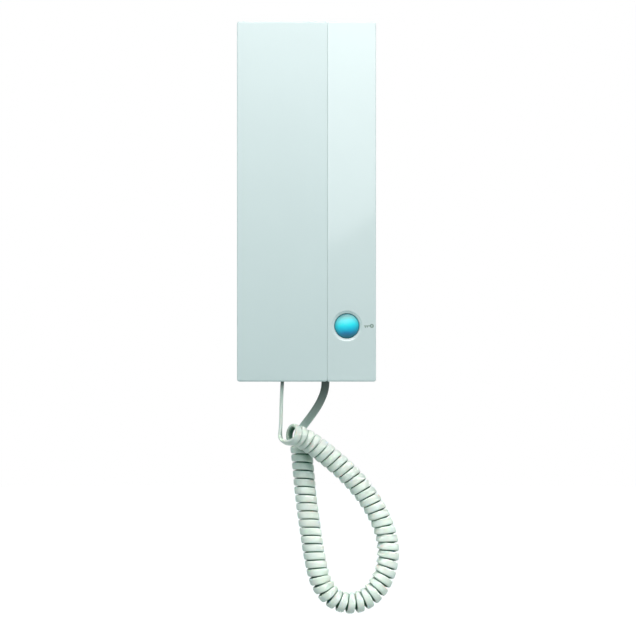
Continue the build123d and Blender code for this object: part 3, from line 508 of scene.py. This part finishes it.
def joined(pieces):
    """Several closed pieces, clear of each other, as one mesh."""
    first = pieces[0]
    work = bmesh.new()
    for piece in pieces:
        work.from_mesh(piece.data)
    mesh = bpy.data.meshes.new(first.name)
    work.to_mesh(mesh)
    work.free()
    first.data = mesh
    for piece in pieces[1:]:
        bpy.data.objects.remove(piece)
    return first


def combine(piece, tools, operation):
    """Adds the tools to a piece, or cuts them out of it."""
    tool = joined(tools)
    change = piece.modifiers.new("change", "BOOLEAN")
    change.operation = operation
    change.solver = "MANIFOLD"
    change.object = tool
    bpy.context.view_layer.update()
    mesh = evaluated(piece)
    piece.modifiers.clear()
    piece.data = mesh
    bpy.data.objects.remove(tool)


def soften_edges(piece, width, segments, angle):
    bevel = piece.modifiers.new("soften", "BEVEL")
    bevel.width = width * MM
    bevel.segments = segments
    bevel.limit_method = "ANGLE"
    bevel.angle_limit = math.radians(angle)


def even_shading(piece):
    normals = piece.modifiers.new("normals", "WEIGHTED_NORMAL")
    normals.keep_sharp = True


def finished(piece, paint, soften=0.0, angle=32.0, segments=3):
    """Material, softened edges and clean shading."""
    mesh = piece.data
    mesh.materials.clear()
    mesh.materials.append(paint.material)
    mesh.polygons.foreach_set("use_smooth", [True] * len(mesh.polygons))
    mesh.set_sharp_from_angle(angle=math.radians(angle))
    if soften:
        soften_edges(piece, soften, segments, angle)
    even_shading(piece)
    return piece


# Camera, at the photograph's angle: square to the front
VIEW_MIDDLE = (7.1, -72.1)
VIEW_WIDTH = 393.4
LENS = 135.0
SENSOR = 36.0
view_distance = DEPTH + VIEW_WIDTH * LENS / SENSOR
camera_data = bpy.data.cameras.new("camera")
camera_data.lens = LENS
camera_data.sensor_width = SENSOR
camera = bpy.data.objects.new("camera", camera_data)
scene.collection.objects.link(camera)
camera.location = (VIEW_MIDDLE[0] * MM, -view_distance * MM, VIEW_MIDDLE[1] * MM)
camera.rotation_euler = (math.pi / 2, 0, 0)
scene.camera = camera
scene.view_settings.view_transform = "Standard"


# Cord, in metres: the middle line of its coil and of each tail is a spline that a route pulls
HANDSET_EXIT = (-0.0150, -0.0350, -0.1108)
BASE_EXIT = (0.0118, -0.0068, -0.1108)
COIL_ROUTE = [
    (-0.0099, -0.0408, -0.1441),
    (-0.0036, -0.0342, -0.1455),
    (0.0126, -0.0316, -0.1571),
    (0.0289, -0.0315, -0.1716),
    (0.0424, -0.0318, -0.1892),
    (0.0502, -0.0322, -0.2067),
    (0.0513, -0.0328, -0.2244),
    (0.0448, -0.0334, -0.2408),
    (0.0327, -0.0338, -0.2501),
    (0.0183, -0.0336, -0.2486),
    (0.0088, -0.0324, -0.2383),
    (0.0048, -0.0302, -0.2211),
    (0.0020, -0.0272, -0.2023),
    (-0.0007, -0.0238, -0.1835),
    (-0.0022, -0.0210, -0.1656),
    (-0.0041, -0.0182, -0.1488),
]
HANDSET_TAIL_ROUTE = [
    HANDSET_EXIT,
    (-0.0157, -0.0350, -0.1220),
    (-0.0160, -0.0346, -0.1380),
]
BASE_TAIL_ROUTE = [
    BASE_EXIT,
    (0.0120, -0.0068, -0.1165),
    (0.0087, -0.0066, -0.1252),
    (0.0036, -0.0061, -0.1332),
    (-0.0040, -0.0056, -0.1430),
]
# The cable's flat section, and how square it is: 2 would make it an ellipse
CORD_WIDTH = 4.55 * MM
CORD_THICKNESS = 2.2 * MM
CORD_SQUARENESS = 3.2
SECTION_POINTS = 18
COIL_RADIUS = 6.8 * MM
COIL_TURNS = 50.55
COIL_START_ANGLE = math.radians(183.0)
TURN_POINTS = 48
COIL_LINE_STEPS = 40
BEND_STEPS = 6
# Where a bend crowds the turns, from the first spacing to the second, the cable leans on its edge
LEAN_START = 5.05 * MM
LEAN_END = 3.5 * MM
MOST_LEAN = math.radians(45.0)
# A tail keeps its exit's way for a share of its length, a little wider there, and turns into the coil
TAIL_LINE_STEPS = 14
TAIL_SPREAD = 1.12
HANDSET_TAIL_LEAD = 7.5 * MM
HANDSET_TAIL_STRAIGHT = 0.62
BASE_TAIL_LEAD = 4.2 * MM
BASE_TAIL_STRAIGHT = 0.7


def pulled_line(name, route, steps):
    """Points of a smooth line that the route pulls, as Blender evaluates it."""
    curve = bpy.data.curves.new(name, "CURVE")
    curve.dimensions = "3D"
    curve.resolution_u = steps
    spline = curve.splines.new("NURBS")
    spline.points.add(len(route) - 1)
    for point, place in zip(spline.points, route):
        point.co = (*place, 1.0)
    spline.order_u = 3
    spline.use_endpoint_u = True
    holder = bpy.data.objects.new(name, curve)
    scene.collection.objects.link(holder)
    bpy.context.view_layer.update()
    mesh = evaluated(holder)
    points = [vertex.co.copy() for vertex in mesh.vertices]
    bpy.data.objects.remove(holder)
    return points


def lengths_along(points):
    found = [0.0]
    for here, there in zip(points, points[1:]):
        found.append(found[-1] + (there - here).length)
    return found


def headings(points):
    found = []
    for number in range(len(points)):
        before = points[max(number - 1, 0)]
        after = points[min(number + 1, len(points) - 1)]
        found.append((after - before).normalized())
    return found


def across(vector, heading):
    """The part of a vector that is square to a heading, of length one."""
    return (vector - heading * vector.dot(heading)).normalized()


coil_line = pulled_line("coil_line", COIL_ROUTE, COIL_LINE_STEPS)
coil_along = lengths_along(coil_line)
coil_length = coil_along[-1]
line_headings = headings(coil_line)
side = across(Vector((0, 0, 1)), line_headings[0])
line_sides = []
for heading in line_headings:
    side = across(side, heading)
    line_sides.append(side)
line_bends = []
for number in range(len(coil_line)):
    before = max(number - BEND_STEPS, 0)
    after = min(number + BEND_STEPS, len(coil_line) - 1)
    length = coil_along[after] - coil_along[before]
    line_bends.append((line_headings[after] - line_headings[before]) / length)


def on_line(along):
    """Place, heading, side and bend of the coil's middle line at a length along it."""
    index = min(bisect.bisect_right(coil_along, along) - 1, len(coil_along) - 2)
    share = (along - coil_along[index]) / (coil_along[index + 1] - coil_along[index])
    place, heading, side, bend = [
        values[index].lerp(values[index + 1], share)
        for values in (coil_line, line_headings, line_sides, line_bends)
    ]
    heading.normalize()
    return place, heading, across(side, heading), bend


coil_pitch = coil_length / COIL_TURNS
coil_count = round(COIL_TURNS * TURN_POINTS)
coil_points = []
coil_widths = []
for number in range(coil_count + 1):
    place, heading, side, bend = on_line(coil_length * number / coil_count)
    other = heading.cross(side)
    angle = COIL_START_ANGLE - TURN * COIL_TURNS * number / coil_count
    out = side * math.cos(angle) + other * math.sin(angle)
    local_pitch = coil_pitch * (1 - (COIL_RADIUS - CORD_THICKNESS / 2) * bend.dot(out))
    crowding = min(max((LEAN_START - local_pitch) / (LEAN_START - LEAN_END), 0.0), 1.0)
    lean = MOST_LEAN * math.sqrt(crowding)
    half = math.hypot(CORD_WIDTH / 2 * math.sin(lean), CORD_THICKNESS / 2 * math.cos(lean))
    coil_points.append(place + out * (COIL_RADIUS - half))
    coil_widths.append(heading * math.cos(lean) + out * math.sin(lean))


def tail_line(name, route, end, end_heading, lead):
    """A tail along its route to the coil, which it meets in the coil's own direction."""
    points = [Vector(place) for place in route] + [end - end_heading * lead, end]
    return pulled_line(name, points, TAIL_LINE_STEPS)


def tail_widths(points, exit_width, coil_width, straight):
    """Width directions and spreads along a tail: straight for a share of it, then turning to the coil."""
    found = []
    along = lengths_along(points)
    for length in along:
        share = max(length / along[-1] - straight, 0.0) / (1 - straight)
        share = share * share * (3 - 2 * share)
        width = Vector(exit_width).lerp(coil_width, share)
        found.append((width, TAIL_SPREAD + (1 - TAIL_SPREAD) * share))
    return found


first_heading = (coil_points[1] - coil_points[0]).normalized()
handset_tail = tail_line(
    "handset_tail", HANDSET_TAIL_ROUTE, coil_points[0], first_heading, HANDSET_TAIL_LEAD,
)
last_heading = (coil_points[-2] - coil_points[-1]).normalized()
base_tail = tail_line("base_tail", BASE_TAIL_ROUTE, coil_points[-1], last_heading, BASE_TAIL_LEAD)
path = handset_tail[:-1] + coil_points + base_tail[-2::-1]
widths = tail_widths(handset_tail, (0, 1, 0), coil_widths[0], HANDSET_TAIL_STRAIGHT)[:-1]
widths += [(width, 1.0) for width in coil_widths]
widths += tail_widths(base_tail, (-1, 0, 0), coil_widths[-1], BASE_TAIL_STRAIGHT)[-2::-1]

section = []
for u, v in circle(0.0, 0.0, 1.0, SECTION_POINTS):
    section.append((
        math.copysign(abs(u) ** (2 / CORD_SQUARENESS), u) * CORD_WIDTH / 2,
        math.copysign(abs(v) ** (2 / CORD_SQUARENESS), v) * CORD_THICKNESS / 2,
    ))
rings = []
for place, heading, (width, spread) in zip(path, headings(path), widths):
    width = across(width, heading)
    thickness = heading.cross(width)
    rings.append([tuple((place + width * u * spread + thickness * v) / MM) for u, v in section])
cord = finished(loft("curly_cord", rings), vinyl, angle=60.0)
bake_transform(cord)
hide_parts("cord_coil", "cord_tail_base", "cord_tail_handset")


# Lights, in metres: a soft box above the front, a narrow beam at the cord's loop, a round card over
# the camera, and a low sky
WHITE = (1.0, 1.0, 1.0)
BLACK = (0.0, 0.0, 0.0)
SKY = (0.25, 0.36, 0.355)


def area(name, place, target, size, power, colour, shape="RECTANGLE"):
    data = bpy.data.lights.new(name, "AREA")
    data.shape = shape
    data.size, data.size_y = size
    data.energy = power
    data.color = colour
    light = bpy.data.objects.new(name, data)
    scene.collection.objects.link(light)
    light.location = place
    light.rotation_euler = (Vector(target) - Vector(place)).to_track_quat("-Z", "Y").to_euler()
    light.visible_camera = False
    return light


area("softbox", (0.09, -0.38, 0.45), (0.01, -0.02, 0.0), (0.7, 0.24), 3.5, (1.0, 0.87, 0.88))
reflector = area(
    "reflector", (0.20, -0.44, 0.16), (0.03, -0.03, -0.245), (0.07, 0.07), 0.0215, (1.0, 0.98, 0.96),
)
reflector.data.spread = math.radians(18.0)
area("card", (-0.078, -1.5, 0.232), (-0.078, 0.0, 0.232), (0.47, 0.47), 1.5, WHITE, "DISK")


def shown_rays(recipe):
    """1 for what the camera sees, also through glass and in reflections."""
    straight = recipe.make("ShaderNodeLightPath", output="Is Camera Ray")
    mirrored = recipe.make("ShaderNodeLightPath", output="Is Glossy Ray")
    through = recipe.make("ShaderNodeLightPath", output="Is Transmission Ray")
    return straight.math("MAXIMUM", mirrored).math("MAXIMUM", through)


world = bpy.data.worlds.new("sky")
world.use_nodes = True
scene.world = world
sky = Recipe(world.node_tree)
sky.join(sky.mix(shown_rays(sky), SKY, WHITE), sky.tree.nodes["Background"].inputs["Color"])

# Floor, far below, white to the camera where nothing shades it
FLOOR_GREY = (0.65, 0.65, 0.65)
FLOOR_HEIGHT = -460.0
FLOOR_RADIUS = 4000.0
FLOOR_THICKNESS = 10.0
floor_paint = Paint("floor_paint", Roughness=0.9, Specular_IOR_Level=0.0, Emission_Strength=0.9)
floor_paint.set("Base Color", FLOOR_GREY)
floor_paint.set("Emission Color", floor_paint.mix(shown_rays(floor_paint), BLACK, WHITE))
floor = lathe("floor", [(FLOOR_RADIUS, 0.0), (FLOOR_RADIUS, FLOOR_THICKNESS)], 0.0, 0.0, 96)
lying = Matrix.Rotation(math.pi / 2, 4, "X")
floor.data.transform(Matrix.Translation((0, 0, FLOOR_HEIGHT * MM)) @ lying)
floor.data.materials.append(floor_paint.material)

# Handset: front and back shells that meet in a fine groove
HANDSET_BOX = (-HALF_WIDTH, 13.0, -HALF_HEIGHT, HALF_HEIGHT)
HANDSET_INSIDE = tuple(edge + way * WALL for edge, way in zip(HANDSET_BOX, (1, -1, 1, -1)))
EDGE = 1.0
SIDE_EDGE = 0.65
SEAM_EDGE = 0.4
BACK_EDGE = 1.5
BACK = 26.0
PARTING = 30.8
GROOVE = 0.25
HANDSET_PLUG = (-15.0, 35.0)
PLUG_WAY = (3.4, 4.1)
CUPS = ((-15.0, 78.0), (-15.0, -80.0))
CUP_SIZE = (46.0, 48.0)
CUP_CORNER = 9.0
CUP_FACE = 19.0
CUP_ROOT = 1.2
CUP_FOOT_ROUND = 1.0
CUP_FACE_ROUND = 1.8
CUP_TAPER = math.tan(math.radians(14.0))
CUP_FOOT_TAPER = 0.3 * CUP_TAPER
HANDSET_SCREWS = ((-15.0, -44.0), (-15.0, 42.0))
SOUND_HOLE_STEP = 4.4
SOUND_HOLE_ROWS = (2, 1)

groove_ring = ring(HANDSET_BOX, CORNER, PARTING, -GROOVE)
front_rings = [ring(HANDSET_INSIDE, CORNER, DEPTH - WALL), ring(HANDSET_INSIDE, CORNER, PARTING)]
front_rings += [groove_ring, ring(HANDSET_BOX, CORNER, PARTING + GROOVE)]
front_rings += round_edge(HANDSET_BOX, CORNER, (SEAM_EDGE, EDGE, SIDE_EDGE, EDGE), DEPTH)
front = loft("handset_front", front_rings)
combine(front, [loft("plug_way", [
    [(HANDSET_PLUG[0] + u * PLUG_WAY[0], -HANDSET_PLUG[1] - v * PLUG_WAY[1], z) for u, v in SQUARE]
    for z in (-HALF_HEIGHT - 1, -HALF_HEIGHT + 3)
])], "DIFFERENCE")
finished(front, handset_white)
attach(front, "handset")
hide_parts("handset_front_shell")

back_rings = [ring(HANDSET_INSIDE, CORNER, BACK + WALL), ring(HANDSET_INSIDE, CORNER, PARTING)]
back_rings += [groove_ring, ring(HANDSET_BOX, CORNER, PARTING - GROOVE)]
back_rings += round_edge(HANDSET_BOX, CORNER, (BACK_EDGE,) * 4, BACK, sign=-1)
back = loft("handset_back", back_rings)


def stations_of(x, z, size, corner, stations):
    """Rings of a tapered box, one for each station (height, growth)."""
    return [ring(around(x, z, *size), corner, high, grow, LARGE_STEPS) for high, grow in stations]


quarter_turns = [number / 5 * math.pi / 2 for number in range(1, 6)]
tapered = CUP_TAPER * (BACK - CUP_FACE - CUP_FACE_ROUND)
cup_outside = [(BACK + CUP_ROOT, CUP_FOOT_ROUND), (BACK, CUP_FOOT_ROUND)]
for turned in quarter_turns:
    cup_outside.append((
        BACK - CUP_FOOT_ROUND * (1 - math.cos(turned)),
        CUP_FOOT_ROUND * (1 - math.sin(turned)) - CUP_FOOT_TAPER * math.sin(turned),
    ))
cup_outside.append((CUP_FACE + CUP_FACE_ROUND, -tapered))
for turned in quarter_turns:
    cup_outside.append((
        CUP_FACE + CUP_FACE_ROUND * (1 - math.sin(turned)),
        -tapered - CUP_FACE_ROUND * (1 - math.cos(turned)),
    ))
cup_inside = [(PARTING + 1, 0.0), (BACK + WALL, 0.0), (CUP_FACE + WALL, -CUP_TAPER * (BACK - CUP_FACE))]
inside_size = tuple(size - 2 * WALL for size in CUP_SIZE)
combine(back, [
    loft("cup", stations_of(*place, CUP_SIZE, CUP_CORNER, cup_outside)) for place in CUPS
], "UNION")
combine(back, [
    loft("hollow", stations_of(*place, inside_size, CUP_CORNER - WALL, cup_inside)) for place in CUPS
], "DIFFERENCE")

sound_hole = [(1.5, CUP_FACE - 1), (1.5, CUP_FACE), (1.0, CUP_FACE + 0.5), (1.0, CUP_FACE + 3)]
screw_hole = [
    (3.3, BACK - 1), (3.3, BACK), (3.0, BACK + 0.3), (3.0, BACK + 1), (1.7, BACK + 1), (1.7, BACK + 3),
]
holes = []
for (x, z), rows in zip(CUPS, SOUND_HOLE_ROWS):
    for column in range(-rows, rows + 1):
        for row in range(-rows, rows + 1):
            if math.hypot(column, row) <= rows + 0.25:
                hole_x, hole_z = x + column * SOUND_HOLE_STEP, z + row * SOUND_HOLE_STEP
                holes.append(lathe("hole", sound_hole, hole_x, hole_z, 20))
for place in HANDSET_SCREWS:
    holes.append(lathe("hole", screw_hole, *place, 40))
combine(back, holes, "DIFFERENCE")
finished(back, handset_white)
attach(back, "handset")
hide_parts("handset_back_shell")

# Base: a shallow bed behind the handset and a deep strip beside it
COVER_BOX = (-HALF_WIDTH, HALF_WIDTH, -HALF_HEIGHT, HALF_HEIGHT)
PLATE = 2.4
BED = 25.0
STRIP_INSIDE = 15.3
# The strip's wall stands as near to the handset as a sliding fit allows
STRIP_FACE = 13.08
POCKET_SIZE = (48.0, 50.0)
POCKET_CORNER = 10.0
POCKET_FLOOR = 17.5
SCOOP_SIZE = (28.0, 70.0)
SCOOP_CORNER = 7.0
SCOOP_FLOOR = 12.7
SCOOP_WALL = 1.8
PLUNGER = (-15.0, 32.0)
GUIDE_RADIUS, GUIDE_HOLE_RADIUS, GUIDE_FOOT = 5.45, 3.85, 19.0
BOSS_RADIUS, BOSS_FOOT = 9.6, 39.4
POST_RADIUS, POST_FOOT = 2.5, 31.0
POSTS = ((BUTTON[0] + 5, -94.0), (BUTTON[0] + 5, -55.0))
COVER_SCREW_COLUMNS = (-28.0, 28.0)
COVER_SCREW_HEIGHT = 6.6
COVER_SCREW_PAD = 4.0
TAB_COLUMNS = (-25.0, 25.0)
TAB_HEIGHT = 6.8
# Ways through a side or the underside: half of both sizes, and the corners
TAB_WAY = (5.3, 1.2, 0.3)
BASE_PLUG = (11.8, 6.8)
BASE_PLUG_WAY = (4.1, 3.4, 0.5)
SPEAKER = (24.2, 72.0)
SPEAKER_SLOT = (9.0, 0.8, 0.8)
SPEAKER_SLOTS = 5
SPEAKER_SLOT_STEP = 4.0
VOLUME = (11.6, -20.0)
VOLUME_PAD = (5.1, 10.3)
VOLUME_RECESS = (3.1, 8.3, 0.8)
VOLUME_STEM_WAY = (1.8, 4.8, 0.3)
VOLUME_STEM = (1.5, 1.5, 0.2)
BELOW = -HALF_HEIGHT - 1.5
BESIDE = HALF_WIDTH + 2.0

cover_rings = [ring(COVER_BOX, CORNER, PLATE)]
cover_rings += round_edge(COVER_BOX, CORNER, (SIDE_EDGE, EDGE, SIDE_EDGE, EDGE), DEPTH)
cover = loft("base_cover", cover_rings)
step_box = (-HALF_WIDTH - 5, STRIP_FACE, -HALF_HEIGHT - 5, HALF_HEIGHT + 5)
combine(cover, [box_solid("step", step_box, BED, DEPTH + 5)], "DIFFERENCE")
inside_left, inside_right = -HALF_WIDTH + WALL, HALF_WIDTH - WALL
inside_top = HALF_HEIGHT - WALL
hollow_outline = [
    (inside_left, PLATE - 1), (inside_right, PLATE - 1), (inside_right, DEPTH - WALL),
    (STRIP_INSIDE, DEPTH - WALL), (STRIP_INSIDE, BED - WALL), (inside_left, BED - WALL),
]
combine(cover, [
    prism("hollow", hollow_outline, -inside_top, inside_top, lambda u, v, w: (u, -v, w)),
], "DIFFERENCE")

scoop_box = around(-HALF_WIDTH, 0.0, *SCOOP_SIZE)
scoop_wall_box = (
    -HALF_WIDTH + 1.5, scoop_box[1] + SCOOP_WALL, scoop_box[2] - SCOOP_WALL, scoop_box[3] + SCOOP_WALL,
)
pocket_wall_size = tuple(size + 2 * WALL for size in POCKET_SIZE)
additions = []
for place in CUPS:
    box = around(*place, *pocket_wall_size)
    additions.append(box_solid("pocket_wall", box, POCKET_FLOOR - WALL, BED - 1, POCKET_CORNER + WALL))
additions += [
    box_solid("scoop_wall", scoop_wall_box, SCOOP_FLOOR - SCOOP_WALL, BED - 1, SCOOP_CORNER + SCOOP_WALL),
    lathe("guide", [(GUIDE_RADIUS, GUIDE_FOOT), (GUIDE_RADIUS, BED - 1)], *PLUNGER, 40),
    lathe("boss", [(BOSS_RADIUS, BOSS_FOOT), (BOSS_RADIUS, DEPTH - 1)], *BUTTON),
]
for place in POSTS:
    additions.append(lathe("post", [(POST_RADIUS, POST_FOOT), (POST_RADIUS, DEPTH - 1)], *place, 24))
for x in COVER_SCREW_COLUMNS:
    box = (x - COVER_SCREW_PAD, x + COVER_SCREW_PAD, -110.0, -107.5)
    pad_low, pad_high = COVER_SCREW_HEIGHT - COVER_SCREW_PAD, COVER_SCREW_HEIGHT + COVER_SCREW_PAD
    additions.append(box_solid("screw_pad", box, pad_low, pad_high))
additions.append(loft("slider_pad", [
    [(x, -VOLUME[0] + u * VOLUME_PAD[0], VOLUME[1] + v * VOLUME_PAD[1]) for u, v in SQUARE]
    for x in (40.2, 42.0)
]))
combine(cover, additions, "UNION")

# Cuts into the front: the stations run from the open side inwards, the turned profiles outwards
pocket_stations = [(BED + 2, 0.0), (19.5, 0.0), (18.3, -0.25), (17.75, -0.9), (POCKET_FLOOR, -2.0)]
scoop_stations = [(BED + 2, 0.0), (17.5, 0.0), (15.2, -0.7), (13.6, -2.1), (SCOOP_FLOOR, -4.4)]
dish = [
    (7.6, 35.0), (7.6, 41.2), (7.8, 41.5), (7.85, 43.1), (7.95, 43.3), (8.3, 43.45), (8.8, 43.62),
    (9.2, 43.8), (9.5, 44.0), (9.9, 44.3), (10.2, 46.0),
]
cuts = [
    loft("pocket", stations_of(*place, POCKET_SIZE, POCKET_CORNER, pocket_stations)) for place in CUPS
]
cuts += [
    loft("scoop", stations_of(-HALF_WIDTH, 0.0, SCOOP_SIZE, SCOOP_CORNER, scoop_stations)),
    lathe("guide_hole", [(GUIDE_HOLE_RADIUS, 10.0), (GUIDE_HOLE_RADIUS, BED + 2)], *PLUNGER, 40),
    lathe("dish", dish, *BUTTON, 96),
]
# Cuts into the underside, the top and the right side
cuts.append(loft("plug_way", [bottom_ring(*BASE_PLUG, z, *BASE_PLUG_WAY) for z in (BELOW, -108.0)]))
screw_way = ((BELOW, 3.0), (-109.9, 3.0), (-109.9, 1.7), (-106.0, 1.7))
for x in COVER_SCREW_COLUMNS:
    cuts.append(loft("screw_way", [
        bottom_ring(x, COVER_SCREW_HEIGHT, z, radius, radius, radius) for z, radius in screw_way
    ]))
for x in TAB_COLUMNS:
    cuts.append(loft("tab_way", [bottom_ring(x, TAB_HEIGHT, z, *TAB_WAY) for z in (108.0, 110.7)]))
for number in range(SPEAKER_SLOTS):
    z = SPEAKER[1] + (number - SPEAKER_SLOTS // 2) * SPEAKER_SLOT_STEP
    cuts.append(loft("slot", [side_ring(x, SPEAKER[0], z, *SPEAKER_SLOT) for x in (39.0, BESIDE)]))
cuts.append(loft("recess", [side_ring(x, *VOLUME, *VOLUME_RECESS) for x in (41.8, BESIDE)]))
combine(cover, cuts, "DIFFERENCE")
stem_way = loft("stem_way", [side_ring(x, *VOLUME, *VOLUME_STEM_WAY) for x in (38.0, 43.0)])
combine(cover, [stem_way], "DIFFERENCE")
finished(cover, base_white, soften=0.35)
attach(cover, "base")
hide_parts("front_cover")

# Key mark beside the button, printed: a ring and a blade
KEY_LOW, KEY_HIGH = DEPTH - 0.005, DEPTH + 0.02
KEY_RING = (40.4, -77.0)
KEY_RING_RADII = (1.25, 0.42)
ring_out, ring_in = [circle(*KEY_RING, radius, 24) for radius in KEY_RING_RADII]
blade = [
    (39.3, -76.7), (35.7, -76.7), (35.4, -77.0), (35.7, -77.3), (36.1, -77.3), (36.1, -78.2), (36.7, -78.2),
    (36.7, -77.3), (37.3, -77.3), (37.3, -78.0), (37.9, -78.0), (37.9, -77.3), (39.3, -77.3),
]
key_points = []
key_faces = []


def printed(outline, inside=None):
    """A thin print with an outline, and a hole where an inside is given."""
    start = len(key_points)
    size = len(outline)
    loops = [outline, outline] if inside is None else [outline, outline, inside, inside]
    for loop, high in zip(loops, (KEY_LOW, KEY_HIGH, KEY_HIGH, KEY_LOW)):
        key_points.extend((x, -high, z) for x, z in loop)
    for number in range(len(loops) if inside else 1):
        low = start + number * size
        top = start + (number + 1) % len(loops) * size
        for step in range(size):
            after = (step + 1) % size
            key_faces.append((low + step, low + after, top + after, top + step))
    if inside is None:
        key_faces.append(tuple(range(start, start + size)))
        key_faces.append(tuple(range(start + size, start + 2 * size))[::-1])


printed(ring_out, ring_in)
printed(blade)
key_mark = solid("key_mark", key_points, key_faces)
key_mark.data.materials.append(print_ink.material)
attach(key_mark, "base")

# Door-opener button: a domed cap with a collar that the cover keeps in, and a stem for the membrane
CAP_TOP = DEPTH + 1.2
CAP_RISE = 1.9
CAP_STEPS = 14
CAP_SHOULDER = 0.35
COLLAR_RADIUS = 7.9
COLLAR_TOP, COLLAR_FOOT = 39.1, 37.9
CAP_INSIDE_RADIUS, CAP_INSIDE_TOP = 5.5, 42.2
STEM_RADIUS, STEM_FOOT = 2.0, 36.2
dome = (BUTTON_RADIUS ** 2 + CAP_RISE ** 2) / (2 * CAP_RISE)
cap_profile = []
for number in range(CAP_STEPS + 1):
    radius = (BUTTON_RADIUS - CAP_SHOULDER) * number / CAP_STEPS
    cap_profile.append((radius, CAP_TOP - dome + math.sqrt(dome ** 2 - radius ** 2)))
shoulder = cap_profile[-1][1]
cap_profile += [
    (BUTTON_RADIUS - 0.15, shoulder - 0.12), (BUTTON_RADIUS - 0.03, shoulder - 0.3),
    (BUTTON_RADIUS, shoulder - 0.6), (BUTTON_RADIUS, COLLAR_TOP),
    (COLLAR_RADIUS, COLLAR_TOP), (COLLAR_RADIUS, COLLAR_FOOT),
    (CAP_INSIDE_RADIUS, COLLAR_FOOT), (CAP_INSIDE_RADIUS, CAP_INSIDE_TOP),
    (STEM_RADIUS, CAP_INSIDE_TOP), (STEM_RADIUS, STEM_FOOT), (0.0, STEM_FOOT),
]
cap = finished(lathe("door_button_cap", cap_profile, *BUTTON, 72), blue_lens())
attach(cap, "door_button")
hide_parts("door_button")

# Ringer volume slider, with ridges for a finger, on a stem that reaches its switch
RIDGES = 5
RIDGE_STEP = 1.7
RIDGE_TOP, RIDGE_FOOT = 43.0, 42.72
RIDGE_HALF_TOP, RIDGE_HALF_FOOT = 0.35, 0.6
GRIP_HALF_LENGTH, GRIP_HALF_WIDTH = 5.0, 2.8
GRIP_FOOT = 42.05
grip = [(-GRIP_HALF_LENGTH, GRIP_FOOT)]
for number in range(RIDGES):
    middle = (number - RIDGES // 2) * RIDGE_STEP
    grip += [
        (middle - RIDGE_HALF_FOOT, RIDGE_FOOT), (middle - RIDGE_HALF_TOP, RIDGE_TOP),
        (middle + RIDGE_HALF_TOP, RIDGE_TOP), (middle + RIDGE_HALF_FOOT, RIDGE_FOOT),
    ]
grip.append((GRIP_HALF_LENGTH, GRIP_FOOT))
slider = prism(
    "volume_grip", grip, -GRIP_HALF_WIDTH, GRIP_HALF_WIDTH,
    lambda u, v, w: (v, -VOLUME[0] + w, VOLUME[1] + u),
)
stem_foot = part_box("volume_slider")[0].x / MM
stem = loft("stem", [side_ring(x, *VOLUME, *VOLUME_STEM) for x in (stem_foot, 42.3)])
combine(slider, [stem], "UNION")
finished(slider, grey_plastic, soften=0.12, segments=2)
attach(slider, "volume_slider")
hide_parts("volume_slider")

# Carried-over nodes: material, welded corners and softened edges
WELD_REACH = 0.001
SMALL_EDGE = 0.2
PAINTS = {
    base_white: ("wall_plate",),
    zinc: (
        "cover_screws", "main_board_screws", "terminal_screws", "button_board_screws", "handset_screws",
        "hook_spring", "handset_weight",
    ),
    board: ("circuit_board", "button_board"),
    terminal_green: ("terminal_block",),
    black_plastic: (
        "amplifier_chip", "line_transformer", "hook_switch", "board_header", "tact_switch", "volume_switch",
    ),
    aluminium: ("capacitors",),
    grey_plastic: (
        "button_guide", "base_jack", "handset_jack", "hook_plunger",
        "earpiece_capsule", "microphone_capsule",
    ),
    rubber: ("button_membrane", "microphone_boot"),
    dark_foam: ("speaker_gasket", "earpiece_gasket"),
    paper: ("call_speaker",),
    plug_clear: ("base_plug", "handset_plug"),
}
for paint, names in PAINTS.items():
    for name in names:
        piece = nodes[name]
        if not piece.material_slots:
            piece.data.materials.append(None)
        for slot in piece.material_slots:
            slot.link = "OBJECT"
            slot.material = paint.material
        weld = piece.modifiers.new("weld", "WELD")
        weld.merge_threshold = WELD_REACH * MM
        soften_edges(piece, SMALL_EDGE, segments=2, angle=35.0)
        even_shading(piece)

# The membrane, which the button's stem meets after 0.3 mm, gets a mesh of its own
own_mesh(nodes["button_membrane"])
